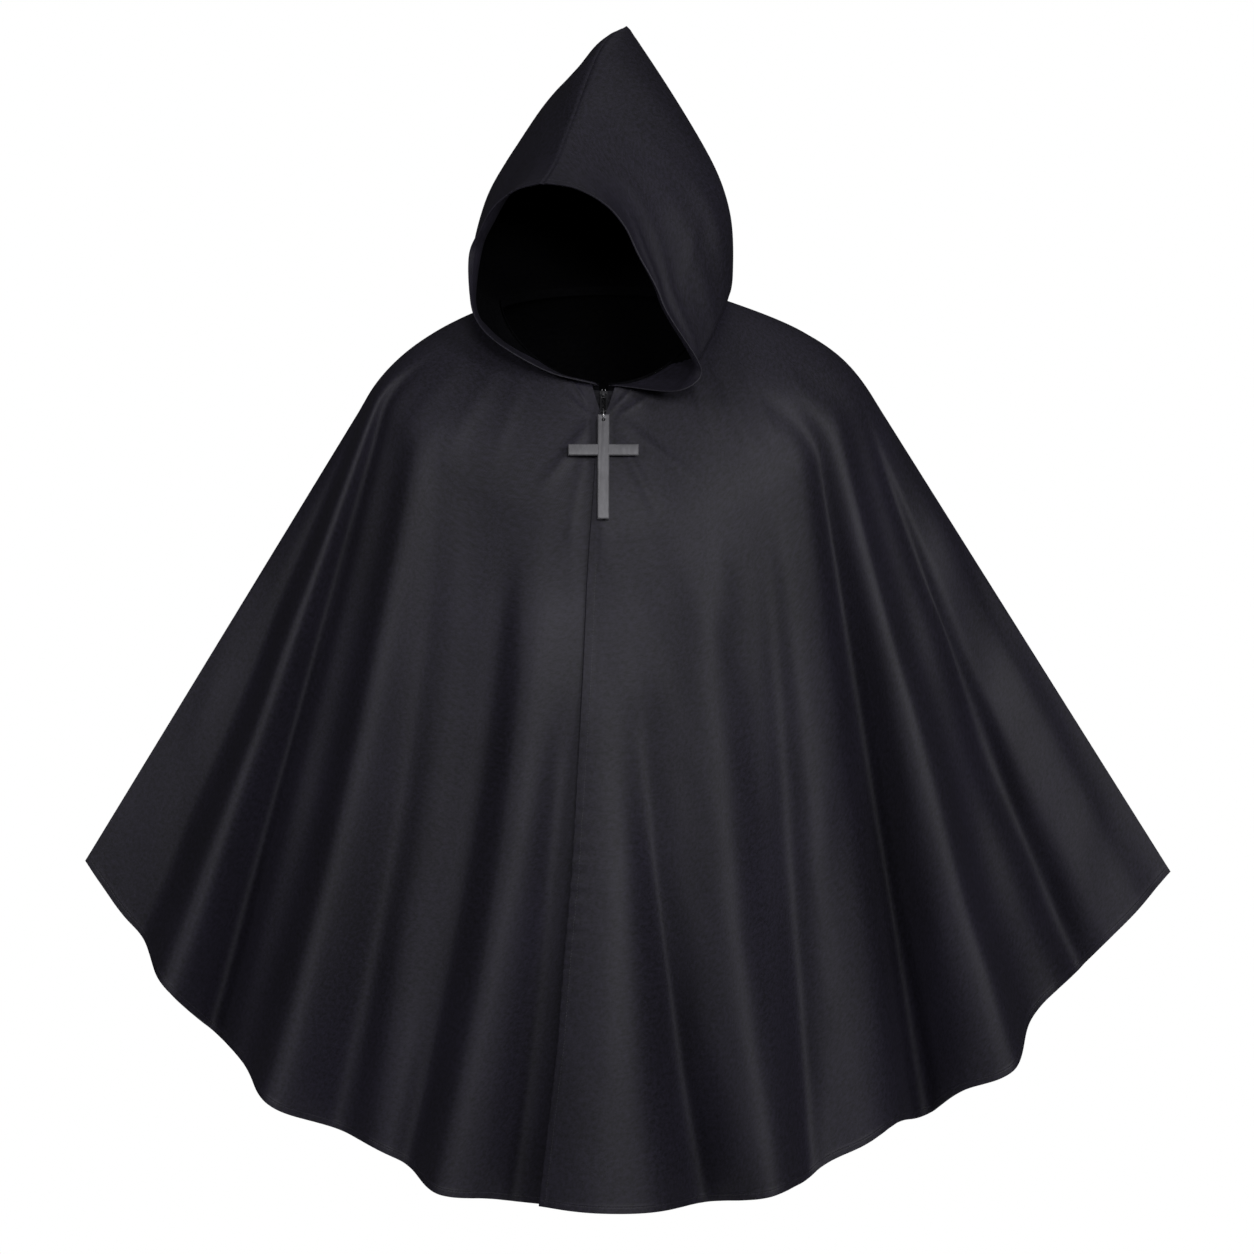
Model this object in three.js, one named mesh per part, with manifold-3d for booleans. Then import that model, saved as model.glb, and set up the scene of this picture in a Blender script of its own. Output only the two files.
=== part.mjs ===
// A black hooded cape standing open and hollow, as it hangs on a wearer.
// Millimetres, +Z up. The front faces -Y and the wearer's left is +X.
// The origin is in the middle of the neck, at the height where the neck meets the shoulders.
import * as THREE from "three";
import { mergeVertices } from "three/addons/utils/BufferGeometryUtils.js";
import Module from "manifold-3d";

const wasm = await Module();
wasm.setup();

// Cloth and seams
const WALL = 2;
const SEAM_GAP = 0.3;
const HALF_TURN = Math.PI / 2;

// The neck ring, where the hood is sewn on: it dips to the front
const NECK = {
  x: -22,
  half: 118,
  front: 100,
  back: 80,
  rightZ: 2,
  leftZ: 9,
  frontZ: -90,
  backZ: 20,
};

// The shoulder ring, where the cloth leaves the shoulders and falls freely
const SHOULDER = {
  right: 285,
  left: 270,
  z: -102,
  front: 150,
  back: 118,
  frontDrop: 150,
  backDrop: 120,
};
const SHOULDER_SHARE = 0.19;

// How the cloth bends over the shoulders. slope: degrees down where it leaves the neck, at the sides and
// how much more in the middle. leave, arrive: how firmly it holds its direction at the neck and the ring.
const BEND = {
  sideSlope: 19,
  frontSlope: 53,
  backSlope: 23,
  sideLeave: 0.36,
  middleLeave: 0.42,
  rightArrive: 0.34,
  leftArrive: 0.38,
  middleArrive: 0.3,
};

// The hem: a curved lower edge that ends in a low point at each side seam
const HEM = {
  right: 598,
  left: 600,
  rightZ: -612,
  leftZ: -624,
  frontZ: -956,
  backZ: -950,
  front: 200,
  back: 195,
};
const HEM_CURVE = { right: 2.57, left: 1.85 };

// The folds of the two fronts, from the wearer's right side seam to the left one.
// at: place along the hem, -1 and 1 are the side seams. outer, inner: widths of the flanks.
// depth: how far the fold stands out (a hollow is below 0). lean: how far its crest leans outwards.
// start: share of the length where it begins. drift: how far its top wanders.
// drop: how much lower its hem hangs.
const FRONT_FOLDS = [
  { at: -0.885, outer: 0.035, inner: 0.035, depth: -16, lean: 0, start: 0, drift: -0.01, drop: -6 },
  { at: -0.817, outer: 0.05, inner: 0.055, depth: 50, lean: 10, start: 0, drift: 0, drop: -12 },
  { at: -0.76, outer: 0.026, inner: 0.032, depth: -50, lean: 0, start: 0, drift: -0.005, drop: 12 },
  { at: -0.605, outer: 0.063, inner: 0.06, depth: 66, lean: 18, start: 0.02, drift: 0.045, drop: -4 },
  { at: -0.52, outer: 0.035, inner: 0.04, depth: -26, lean: 0, start: 0.2, drift: 0.07, drop: 4 },
  { at: -0.448, outer: 0.05, inner: 0.05, depth: 14, lean: 0, start: 0.02, drift: 0, drop: -4 },
  { at: -0.385, outer: 0.03, inner: 0.035, depth: -14, lean: 0, start: 0.1, drift: 0.1, drop: 0 },
  { at: -0.305, outer: 0.065, inner: 0.075, depth: 58, lean: 14, start: 0.12, drift: 0.1, drop: 3 },
  { at: -0.195, outer: 0.035, inner: 0.045, depth: -34, lean: 0, start: 0.3, drift: 0.07, drop: 9 },
  { at: 0.02, outer: 0.13, inner: 0.2, depth: 50, lean: 0, start: 0.2, drift: -0.04, drop: -3 },
  { at: 0.135, outer: 0.045, inner: 0.05, depth: -50, lean: 0, start: 0.25, drift: -0.13, drop: 8 },
  { at: 0.25, outer: 0.07, inner: 0.075, depth: 56, lean: 6, start: 0.1, drift: -0.07, drop: 1 },
  { at: 0.315, outer: 0.03, inner: 0.03, depth: -16, lean: 0, start: 0.1, drift: 0.045, drop: 7 },
  { at: 0.43, outer: 0.06, inner: 0.06, depth: 14, lean: 0, start: 0, drift: -0.03, drop: 3 },
  { at: 0.542, outer: 0.035, inner: 0.04, depth: -72, lean: 0, start: 0, drift: 0, drop: 30 },
  { at: 0.658, outer: 0.052, inner: 0.075, depth: 60, lean: 18, start: 0, drift: -0.03, drop: 14 },
  { at: 0.83, outer: 0.028, inner: 0.032, depth: -34, lean: 0, start: 0.1, drift: -0.035, drop: 9 },
  { at: 0.93, outer: 0.05, inner: 0.06, depth: 12, lean: 0, start: 0.1, drift: 0, drop: 0 },
];

// The folds of the back, with the same columns
const BACK_FOLDS = [
  { at: -0.86, outer: 0.04, inner: 0.06, depth: 54, lean: 12, start: 0.04, drift: 0, drop: 0 },
  { at: -0.64, outer: 0.045, inner: 0.065, depth: 72, lean: 18, start: 0.03, drift: 0.03, drop: 6 },
  { at: -0.52, outer: 0.04, inner: 0.05, depth: -22, lean: 0, start: 0.1, drift: 0.03, drop: 0 },
  { at: -0.36, outer: 0.05, inner: 0.08, depth: 66, lean: 14, start: 0.12, drift: 0.06, drop: 6 },
  { at: -0.1, outer: 0.08, inner: 0.09, depth: 52, lean: 8, start: 0.22, drift: 0.02, drop: 2 },
  { at: 0.17, outer: 0.07, inner: 0.08, depth: 58, lean: 10, start: 0.16, drift: -0.03, drop: 4 },
  { at: 0.42, outer: 0.05, inner: 0.075, depth: 70, lean: 16, start: 0.08, drift: -0.05, drop: 6 },
  { at: 0.55, outer: 0.04, inner: 0.05, depth: -20, lean: 0, start: 0.1, drift: -0.03, drop: 0 },
  { at: 0.68, outer: 0.042, inner: 0.06, depth: 68, lean: 18, start: 0.02, drift: -0.02, drop: 4 },
  { at: 0.88, outer: 0.04, inner: 0.05, depth: 48, lean: 10, start: 0.05, drift: 0, drop: 0 },
];

// The front edges, from the neck (t = 0) to the hem (t = 1). The left front laps over the right one.
// They part in a small V at the neck, over the top of the zip.
const FRONT_EDGES = [
  { t: 0, left: 0.05, right: -0.083 },
  { t: 0.034, left: -0.02, right: -0.024 },
  { t: 0.055, left: -0.057, right: -0.03 },
  { t: 0.085, left: -0.07, right: -0.04 },
  { t: 0.12, left: -0.079, right: -0.05 },
  { t: 0.155, left: -0.085, right: -0.056 },
  { t: 0.19, left: -0.09, right: -0.052 },
  { t: 0.25, left: -0.095, right: -0.046 },
  { t: 0.4, left: -0.1, right: -0.048 },
  { t: 0.6, left: -0.0995, right: -0.05 },
  { t: 0.8, left: -0.109, right: -0.06 },
  { t: 1, left: -0.133, right: -0.084 },
];
const LAP = {
  lift: 3.2,
  full: 0.07,
  fade: 0.16,
  from: 0.004,
  to: 0.034,
  lowLift: 8,
  lowFrom: 0.3,
  lowTo: 0.8,
};

// Where the cloth is divided between the neck and the hem, and across
const ROWS = [
  0, 0.016, 0.034, 0.055, 0.085, 0.115, 0.145, 0.175, 0.205, 0.26, 0.34, 0.44, 0.56, 0.7, 0.85, 1,
];
const FRONT_COLUMNS = 42;
const BACK_COLUMNS = 54;

// The short zip in the front opening
const ZIP = {
  x: -25,
  start: 0.004,
  chainStart: 0.014,
  end: 0.175,
  tapeWidth: 11,
  tapeGap: 2.6,
  tape: 1,
  tapeDepth: 2.5,
  chainWidth: 4.6,
  chainTop: 0.7,
  chainBottom: 2.2,
};
const ZIP_RIDGE = { lift: 2, width: 9, from: 0.16, to: 0.25 };

// The hood: it is turned a little to the wearer's right, as a head is
const HOOD_TURN = (28 * Math.PI) / 180;
const HOOD_AXIS_X = -30;
const HOOD_TURN_SHARE = 0.35;
const HOOD_LIFT = 1.2;
const HOOD_COLUMNS = 24;
const HOOD_ROWS = 16;

// How each half of the hood swells out. fullness: how far. The four powers say how late it begins to
// swell from the rim and from the neck, and how late it ends towards the back seam and the top.
// taper: how long the width of the neck is kept going up.
const SWELL_RIGHT = { fullness: 79, rim: 1.7, back: 0.53, neck: 0.97, top: 0.64, taper: 2.05 };
const SWELL_LEFT = { fullness: 56, rim: 2.45, back: 0.5, neck: 0.58, top: 0.51, taper: 1.8 };

// The hood's front rim, from the neck (v = 0) to the brow (v = 1).
// l: distance from the centre seam. d: distance forwards of the head's axis. z: height.
const RIM_LEFT = [
  { v: 0, l: 2, d: 100, z: -89 },
  { v: 0.1, l: 91, d: 134, z: -96 },
  { v: 0.19, l: 141, d: 110, z: -72 },
  { v: 0.33, l: 130, d: 97, z: -6 },
  { v: 0.5, l: 104, d: 106, z: 50 },
  { v: 0.66, l: 89, d: 108, z: 79 },
  { v: 0.8, l: 68, d: 115, z: 103 },
  { v: 0.91, l: 36, d: 123, z: 120 },
  { v: 1, l: 0, d: 128, z: 126 },
];
const RIM_RIGHT = [
  { v: 0, l: 8, d: 100, z: -89 },
  { v: 0.1, l: 47, d: 112, z: -76 },
  { v: 0.2, l: 71, d: 132, z: -48 },
  { v: 0.33, l: 87, d: 129, z: -8 },
  { v: 0.5, l: 104, d: 106, z: 50 },
  { v: 0.66, l: 89, d: 108, z: 79 },
  { v: 0.8, l: 68, d: 115, z: 103 },
  { v: 0.91, l: 36, d: 123, z: 120 },
  { v: 1, l: 0, d: 128, z: 126 },
];

// The hood's centre seam: up the back from the nape to the peak, and over the top from the brow to the peak
const BACK_SEAM = [
  { v: 0, d: -80, z: 20 },
  { v: 0.25, d: -124, z: 70 },
  { v: 0.5, d: -136, z: 140 },
  { v: 0.75, d: -120, z: 215 },
  { v: 0.93, d: -88, z: 280 },
  { v: 1, d: -64, z: 310 },
];
const TOP_SEAM = [
  { v: 0, d: 128, z: 126 },
  { v: 0.13, d: 98, z: 151 },
  { v: 0.28, d: 76, z: 180 },
  { v: 0.4, d: 58, z: 203 },
  { v: 0.53, d: 40, z: 228 },
  { v: 0.67, d: 19, z: 256 },
  { v: 0.79, d: 0, z: 277 },
  { v: 0.9, d: -26, z: 296 },
  { v: 1, d: -64, z: 310 },
];

// The slider, its pull loop, the ring and the cross that hangs from it.
// Places are [y, z] in the plane x = ZIP.x, tilts are from straight down towards the front, in radians.
const SLIDER = {
  t: 0.009,
  width: 8.4,
  length: 8,
  plate: 1.1,
  top: 0.1,
  bottom: 4.1,
  post: 1.6,
  postLength: 2.4,
  postInset: 0.4,
  bevel: 0.3,
};
const BRIDGE = { width: 2.4, length: 6.4, height: 4.4, wall: 1 };
const PULL = { wire: 0.8, width: 6.1, corner: 1.2, height: 1.15 };
const RING = { wire: 0.8, along: 6.4, across: 4.4, gap: 0.3, belowHole: 0.87 };
const CROSS = {
  hole: [-124.6, -126.6],
  tilt: (18.3 * Math.PI) / 180,
  length: 116,
  width: 75,
  bar: 12.4,
  thickness: 5,
  barThickness: 4.4,
  bevel: 0.9,
  holeDown: 6.1,
  barDown: 39.4,
  holeRadius: 2,
};

// How finely the round wires are divided
const WIRE_SIDES = 8;
const RING_STEPS = 28;
const CORNER_STEPS = 4;

// Colours
const BLACK_CLOTH = { color: 0x17161b, roughness: 0.72, metalness: 0 };
const BLACK_TAPE = { color: 0x121214, roughness: 0.8, metalness: 0 };
const BLACK_TEETH = { color: 0x1a1a1c, roughness: 0.45, metalness: 0 };
const BLACK_METAL = { color: 0x2b2b2e, roughness: 0.4, metalness: 0.8 };
const GREY_METAL = { color: 0x6f6e73, roughness: 0.42, metalness: 0.75 };

function smooth(x) {
  const c = Math.min(Math.max(x, 0), 1);
  return c * c * (3 - 2 * c);
}

function mix(a, b, share) {
  return a + (b - a) * share;
}

// A value between the rows of a table, on straight lines
function between(rows, across, x, key) {
  for (let i = 1; i < rows.length; i += 1) {
    const low = rows[i - 1];
    const high = rows[i];
    if (x <= high[across]) {
      return mix(low[key], high[key], (x - low[across]) / (high[across] - low[across]));
    }
  }
  return rows[rows.length - 1][key];
}

// A value between the rows of a table, on a smooth curve through them
function curved(rows, x, key) {
  const last = rows.length - 1;
  let i = 0;
  while (i < last - 1 && x > rows[i + 1].v) {
    i += 1;
  }
  const slope = (k) => {
    const before = rows[Math.max(k - 1, 0)];
    const after = rows[Math.min(k + 1, last)];
    return (after[key] - before[key]) / (after.v - before.v);
  };
  const low = rows[i];
  const high = rows[i + 1];
  const span = high.v - low.v;
  const s = (x - low.v) / span;
  const rise = s * s * (3 - 2 * s);
  const leave = s * (1 - s) * (1 - s) * span * slope(i);
  const arrive = s * s * (1 - s) * span * slope(i + 1);
  return mix(low[key], high[key], rise) + leave - arrive;
}

// One point of the neck ring: c is 1 at the middle of the front or back and 0 at the sides
function neckPoint(s, c, front) {
  const depth = front ? -NECK.front : NECK.back;
  const z = front ? NECK.frontZ : NECK.backZ;
  const sideZ = mix(NECK.rightZ, NECK.leftZ, (s + 1) / 2);
  return new THREE.Vector3(NECK.x + NECK.half * s, depth * c, mix(sideZ, z, c ** 1.3));
}

// The middle of the cape's cloth. a runs from the right side seam (-1) to the left one (1),
// t from the neck (0) to the hem (1).
function capeSurface(a, t, front) {
  const side = front ? -1 : 1;
  const angle = HALF_TURN * a;
  const s = Math.sin(angle);
  const c = Math.max(Math.cos(angle), 0);
  const toLeft = smooth((a + 1) / 2);
  const neck = neckPoint(s, c, front);

  const halfShoulder = mix(SHOULDER.right, SHOULDER.left, toLeft);
  const shoulderDepth = front ? SHOULDER.front : SHOULDER.back;
  const shoulderDrop = front ? SHOULDER.frontDrop : SHOULDER.backDrop;
  const shoulder = new THREE.Vector3(
    halfShoulder * s,
    side * shoulderDepth * c ** 0.85,
    SHOULDER.z - shoulderDrop * c * c,
  );

  const tipZ = mix(HEM.rightZ, HEM.leftZ, toLeft);
  const lowZ = front ? HEM.frontZ : HEM.backZ;
  const curve = mix(HEM_CURVE.right, HEM_CURVE.left, toLeft);
  const open = Math.max(1 - Math.abs(a) ** 1.5, 0) ** 1.05;
  const hemDepth = front ? HEM.front : HEM.back;
  const hem = new THREE.Vector3(
    mix(HEM.right, HEM.left, toLeft) * a,
    side * hemDepth * open,
    mix(lowZ, tipZ, Math.abs(a) ** curve),
  );

  // Over the shoulders the cloth bends from sloping outwards to hanging down
  const span = shoulder.distanceTo(neck);
  const middle = c * c;
  const slope = ((BEND.sideSlope + (front ? BEND.frontSlope : BEND.backSlope) * middle) * Math.PI) / 180;
  const outwards = new THREE.Vector3(s * Math.cos(slope), side * c * Math.cos(slope), -Math.sin(slope));
  const fall = hem.clone().sub(shoulder).normalize();
  const leave = mix(BEND.sideLeave, BEND.middleLeave, middle);
  const arrive = mix(mix(BEND.rightArrive, BEND.leftArrive, toLeft), BEND.middleArrive, middle);
  const early = neck.clone().addScaledVector(outwards, leave * span);
  const late = shoulder.clone().addScaledVector(fall, -arrive * span);
  const bend = Math.min(t / SHOULDER_SHARE, 1);
  const rest = 1 - bend;
  const point = neck.multiplyScalar(rest ** 3);
  point.addScaledVector(early, 3 * rest * rest * bend);
  point.addScaledVector(late, 3 * rest * bend * bend);
  point.addScaledVector(shoulder, bend ** 3);
  const down = Math.max((t - SHOULDER_SHARE) / (1 - SHOULDER_SHARE), 0);
  point.addScaledVector(hem.sub(shoulder), down);

  // The folds die away into the side seams
  const held = smooth((1 - Math.abs(a)) / 0.06);
  for (const fold of front ? FRONT_FOLDS : BACK_FOLDS) {
    const outwardsSign = Math.sign(fold.at);
    const off = (a - fold.at - fold.drift * (1 - t * t)) * outwardsSign;
    const width = off > 0 ? fold.outer : fold.inner;
    const begun = Math.max((t - fold.start - 0.04) / (0.96 - fold.start), 0);
    const height = Math.exp(-((off / width) ** 2)) * begun ** 0.9 * smooth(begun / 0.2) * held;
    point.x += fold.lean * outwardsSign * height;
    point.y += side * fold.depth * height;
    point.z -= fold.drop * height;
  }
  return point;
}

// The outward direction of the cape's cloth
function capeNormal(a, t, front) {
  const step = 0.002;
  const before = capeSurface(Math.max(a - step, -1), t, front);
  const across = capeSurface(Math.min(a + step, 1), t, front).sub(before);
  const above = capeSurface(a, Math.max(t - step, 0), front);
  const down = capeSurface(a, Math.min(t + step, 1), front).sub(above);
  const normal = down.cross(across).normalize();
  return front ? normal : normal.negate();
}

// How far the front cloth is lifted by the zip under it
function zipRidge(x, t) {
  const along = 1 - smooth((t - ZIP_RIDGE.from) / (ZIP_RIDGE.to - ZIP_RIDGE.from));
  return ZIP_RIDGE.lift * Math.exp(-(((x - ZIP.x) / ZIP_RIDGE.width) ** 2)) * along;
}

// How far the left front is lifted by the right one under it
function lapLift(a, t) {
  const off = a - between(FRONT_EDGES, "t", t, "left");
  const across = 1 - smooth((off - LAP.full) / LAP.fade);
  const upper = LAP.lift * smooth((t - LAP.from) / (LAP.to - LAP.from));
  const lower = LAP.lowLift * smooth((t - LAP.lowFrom) / (LAP.lowTo - LAP.lowFrom));
  return across * (upper + lower);
}

// A closed solid from two grids of points, an outer and an inner one
function shell(columns, rows, pair) {
  const positions = [];
  for (let j = 0; j <= rows; j += 1) {
    for (let i = 0; i <= columns; i += 1) {
      const [outer, inner] = pair(i, j);
      positions.push(...outer.toArray(), ...inner.toArray());
    }
  }
  const at = (i, j, inside) => 2 * (j * (columns + 1) + i) + (inside ? 1 : 0);
  const faces = [];
  const quad = (p, q, r, s) => faces.push(p, q, r, p, r, s);
  for (let j = 0; j < rows; j += 1) {
    for (let i = 0; i < columns; i += 1) {
      quad(at(i, j), at(i, j + 1), at(i + 1, j + 1), at(i + 1, j));
      quad(at(i, j, true), at(i + 1, j, true), at(i + 1, j + 1, true), at(i, j + 1, true));
    }
  }
  for (let i = 0; i < columns; i += 1) {
    quad(at(i, 0), at(i + 1, 0), at(i + 1, 0, true), at(i, 0, true));
    quad(at(i, rows, true), at(i + 1, rows, true), at(i + 1, rows), at(i, rows));
  }
  for (let j = 0; j < rows; j += 1) {
    quad(at(0, j), at(0, j, true), at(0, j + 1, true), at(0, j + 1));
    quad(at(columns, j, true), at(columns, j), at(columns, j + 1), at(columns, j + 1, true));
  }
  return outwardFacing(positions, faces);
}

// A geometry whose faces all point out of the solid
function outwardFacing(positions, faces) {
  let volume = 0;
  const corner = (k) => new THREE.Vector3().fromArray(positions, 3 * faces[k]);
  for (let k = 0; k < faces.length; k += 3) {
    volume += corner(k).dot(corner(k + 1).cross(corner(k + 2)));
  }
  if (volume < 0) {
    faces.reverse();
  }
  const geometry = new THREE.BufferGeometry();
  geometry.setAttribute("position", new THREE.Float32BufferAttribute(positions, 3));
  geometry.setIndex(faces);
  geometry.computeVertexNormals();
  return geometry;
}

// Shares across a piece that are evenly spaced along its hem, so that the folds keep their form
function evenShares(count, low, high, front) {
  const steps = 600;
  const lengths = [0];
  let last = capeSurface(low, 1, front);
  for (let k = 1; k <= steps; k += 1) {
    const next = capeSurface(mix(low, high, k / steps), 1, front);
    lengths.push(lengths[k - 1] + next.distanceTo(last));
    last = next;
  }
  const shares = [];
  let k = 0;
  for (let i = 0; i <= count; i += 1) {
    const want = (lengths[steps] * i) / count;
    while (k < steps && lengths[k] < want) {
      k += 1;
    }
    shares.push(k / steps);
  }
  return shares;
}

// One cape piece between two edges, closed flat against the side seams
function capePiece(columns, low, high, front, lift) {
  const shares = evenShares(columns, low(1), high(1), front);
  const seam = (front ? -1 : 1) * (SEAM_GAP / 2);
  return shell(columns, ROWS.length - 1, (i, j) => {
    const t = ROWS[j];
    const a = mix(low(t), high(t), shares[i]);
    const surface = capeSurface(a, t, front);
    const normal = capeNormal(a, t, front);
    const raise = lift(a, t, surface.x);
    return [raise, raise - WALL].map((off) => {
      const p = surface.clone().addScaledVector(normal, off);
      p.y = front ? Math.min(p.y, seam) : Math.max(p.y, seam);
      return p;
    });
  });
}

// The place across the front that lies over a given x
function acrossAt(x, t) {
  let a = 0;
  for (let k = 0; k < 12; k += 1) {
    a += (x - capeSurface(a, t, true).x) / 300;
  }
  return a;
}

// A strip of the zip between two x values, from one depth under the cloth's face to another
function zipStrip(fromX, toX, top, bottom, start) {
  const rows = [start, ...ROWS.filter((t) => t > start && t < ZIP.end), ZIP.end];
  return shell(1, rows.length - 1, (i, j) => {
    const t = rows[j];
    const a = acrossAt(i ? toX : fromX, t);
    const surface = capeSurface(a, t, true);
    const normal = capeNormal(a, t, true);
    return [top, bottom].map((depth) => surface.clone().addScaledVector(normal, -depth));
  });
}

// The highest value of x^p * (1 - x)^q between 0 and 1
function highest(p, q) {
  return (p / (p + q)) ** p * (q / (p + q)) ** q;
}

// One half of the hood in the head's own directions: u runs from the rim to the back,
// v from the neck to the top seam. half holds its side (-1 is the right one), its rim and its swell.
function hoodLocal(u, v, half) {
  const { side, rim, swell } = half;
  const first = Math.asin(rim[0].l / NECK.half);
  const angle = mix(first, Math.PI, u);
  const ring = neckPoint(side * Math.sin(angle), Math.abs(Math.cos(angle)), Math.cos(angle) > 0);
  const neckEdge = { l: side * (ring.x - NECK.x), d: -ring.y, z: ring.z + HOOD_LIFT };
  const start = neckPoint(side * Math.sin(first), Math.cos(first), true);
  const corner = { d: -start.y, z: start.z + HOOD_LIFT };
  const nape = { d: -NECK.back, z: NECK.backZ + HOOD_LIFT };
  const brow = TOP_SEAM[0];
  const peak = TOP_SEAM[TOP_SEAM.length - 1];
  const blend = (key) => {
    const front = v === 0 ? corner[key] : curved(rim, v, key);
    const back = v === 0 ? nape[key] : curved(BACK_SEAM, v, key);
    const edges = (1 - v) * neckEdge[key] + v * curved(TOP_SEAM, u, key) + (1 - u) * front + u * back;
    const low = mix(corner[key], nape[key], u);
    const high = mix(brow[key], peak[key], u);
    return edges - mix(low, high, v);
  };
  const across = (u ** swell.rim * (1 - u) ** swell.back) / highest(swell.rim, swell.back);
  const upwards = (v ** swell.neck * (1 - v) ** swell.top) / highest(swell.neck, swell.top);
  const kept = 1 - v ** swell.taper;
  const rimPart = (1 - u) ** 4 * (curved(rim, v, "l") - rim[0].l * kept);
  const l = kept * neckEdge.l + rimPart + swell.fullness * across * upwards;
  return new THREE.Vector3(l, blend("d"), blend("z"));
}

// The head's directions turned into the cape's, more and more from the neck up
function hoodPlace(point, v, side) {
  const turn = smooth(v / HOOD_TURN_SHARE);
  const angle = HOOD_TURN * turn;
  const x = mix(NECK.x, HOOD_AXIS_X, turn);
  const l = Math.max(point.x, SEAM_GAP / 2) * side;
  return new THREE.Vector3(
    x + l * Math.cos(angle) - point.y * Math.sin(angle),
    -l * Math.sin(angle) - point.y * Math.cos(angle),
    point.z,
  );
}

function hoodPiece(half) {
  const inside = 0.985;
  const step = 0.004;
  return shell(HOOD_COLUMNS, HOOD_ROWS, (i, j) => {
    const even = i / HOOD_COLUMNS;
    const u = even - 0.03 * Math.sin(4 * HALF_TURN * even);
    const v = Math.sin((HALF_TURN * j) / HOOD_ROWS);
    const nearU = Math.min(u, inside);
    const nearV = Math.min(v, inside);
    const along = hoodLocal(nearU + step, nearV, half).sub(hoodLocal(Math.max(nearU - step, 0), nearV, half));
    const up = hoodLocal(nearU, nearV + step, half).sub(hoodLocal(nearU, Math.max(nearV - step, 0), half));
    const normal = up.cross(along).normalize();
    const outer = hoodLocal(u, v, half);
    const inner = outer.clone().addScaledVector(normal, -WALL);
    return [hoodPlace(outer, v, half.side), hoodPlace(inner, v, half.side)];
  });
}

// A closed loop of round wire along points in the plane across the given direction
function wireLoop(points, radius, across) {
  const count = points.length;
  const positions = [];
  const faces = [];
  points.forEach((point, k) => {
    const ahead = points[(k + 1) % count].clone().sub(points[(k + count - 1) % count]).normalize();
    const out = ahead.clone().cross(across).normalize();
    for (let m = 0; m < WIRE_SIDES; m += 1) {
      const turn = (2 * Math.PI * m) / WIRE_SIDES;
      const p = point.clone().addScaledVector(out, radius * Math.cos(turn));
      p.addScaledVector(across, radius * Math.sin(turn));
      positions.push(...p.toArray());
      const here = k * WIRE_SIDES + m;
      const beside = k * WIRE_SIDES + ((m + 1) % WIRE_SIDES);
      const next = ((k + 1) % count) * WIRE_SIDES + m;
      const nextBeside = ((k + 1) % count) * WIRE_SIDES + ((m + 1) % WIRE_SIDES);
      faces.push(here, beside, nextBeside, here, nextBeside, next);
    }
  });
  return outwardFacing(positions, faces);
}

// A geometry as a solid that can be joined and cut
function solidOf(geometry) {
  const bare = geometry.clone();
  bare.deleteAttribute("normal");
  bare.deleteAttribute("uv");
  const merged = mergeVertices(bare, 1e-4);
  const mesh = new wasm.Mesh({
    numProp: 3,
    vertProperties: merged.attributes.position.array,
    triVerts: new Uint32Array(merged.index.array),
  });
  return new wasm.Manifold(mesh);
}

function geometryOf(solid) {
  const mesh = solid.getMesh();
  const geometry = new THREE.BufferGeometry();
  geometry.setAttribute("position", new THREE.BufferAttribute(mesh.vertProperties, 3));
  geometry.setIndex(new THREE.BufferAttribute(mesh.triVerts, 1));
  return geometry.toNonIndexed();
}

// A flat bar with bevelled edges, w wide, h high and depth thick, centred on the origin, facing Z
function bevelledBar(w, h, depth, bevel) {
  const shape = new THREE.Shape();
  shape.moveTo(-w / 2 + bevel, -h / 2 + bevel);
  shape.lineTo(w / 2 - bevel, -h / 2 + bevel);
  shape.lineTo(w / 2 - bevel, h / 2 - bevel);
  shape.lineTo(-w / 2 + bevel, h / 2 - bevel);
  shape.closePath();
  const geometry = new THREE.ExtrudeGeometry(shape, {
    depth: depth - 2 * bevel,
    bevelEnabled: true,
    bevelThickness: bevel,
    bevelSize: bevel,
    bevelSegments: 1,
  });
  geometry.translate(0, 0, bevel - depth / 2);
  return geometry;
}

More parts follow.
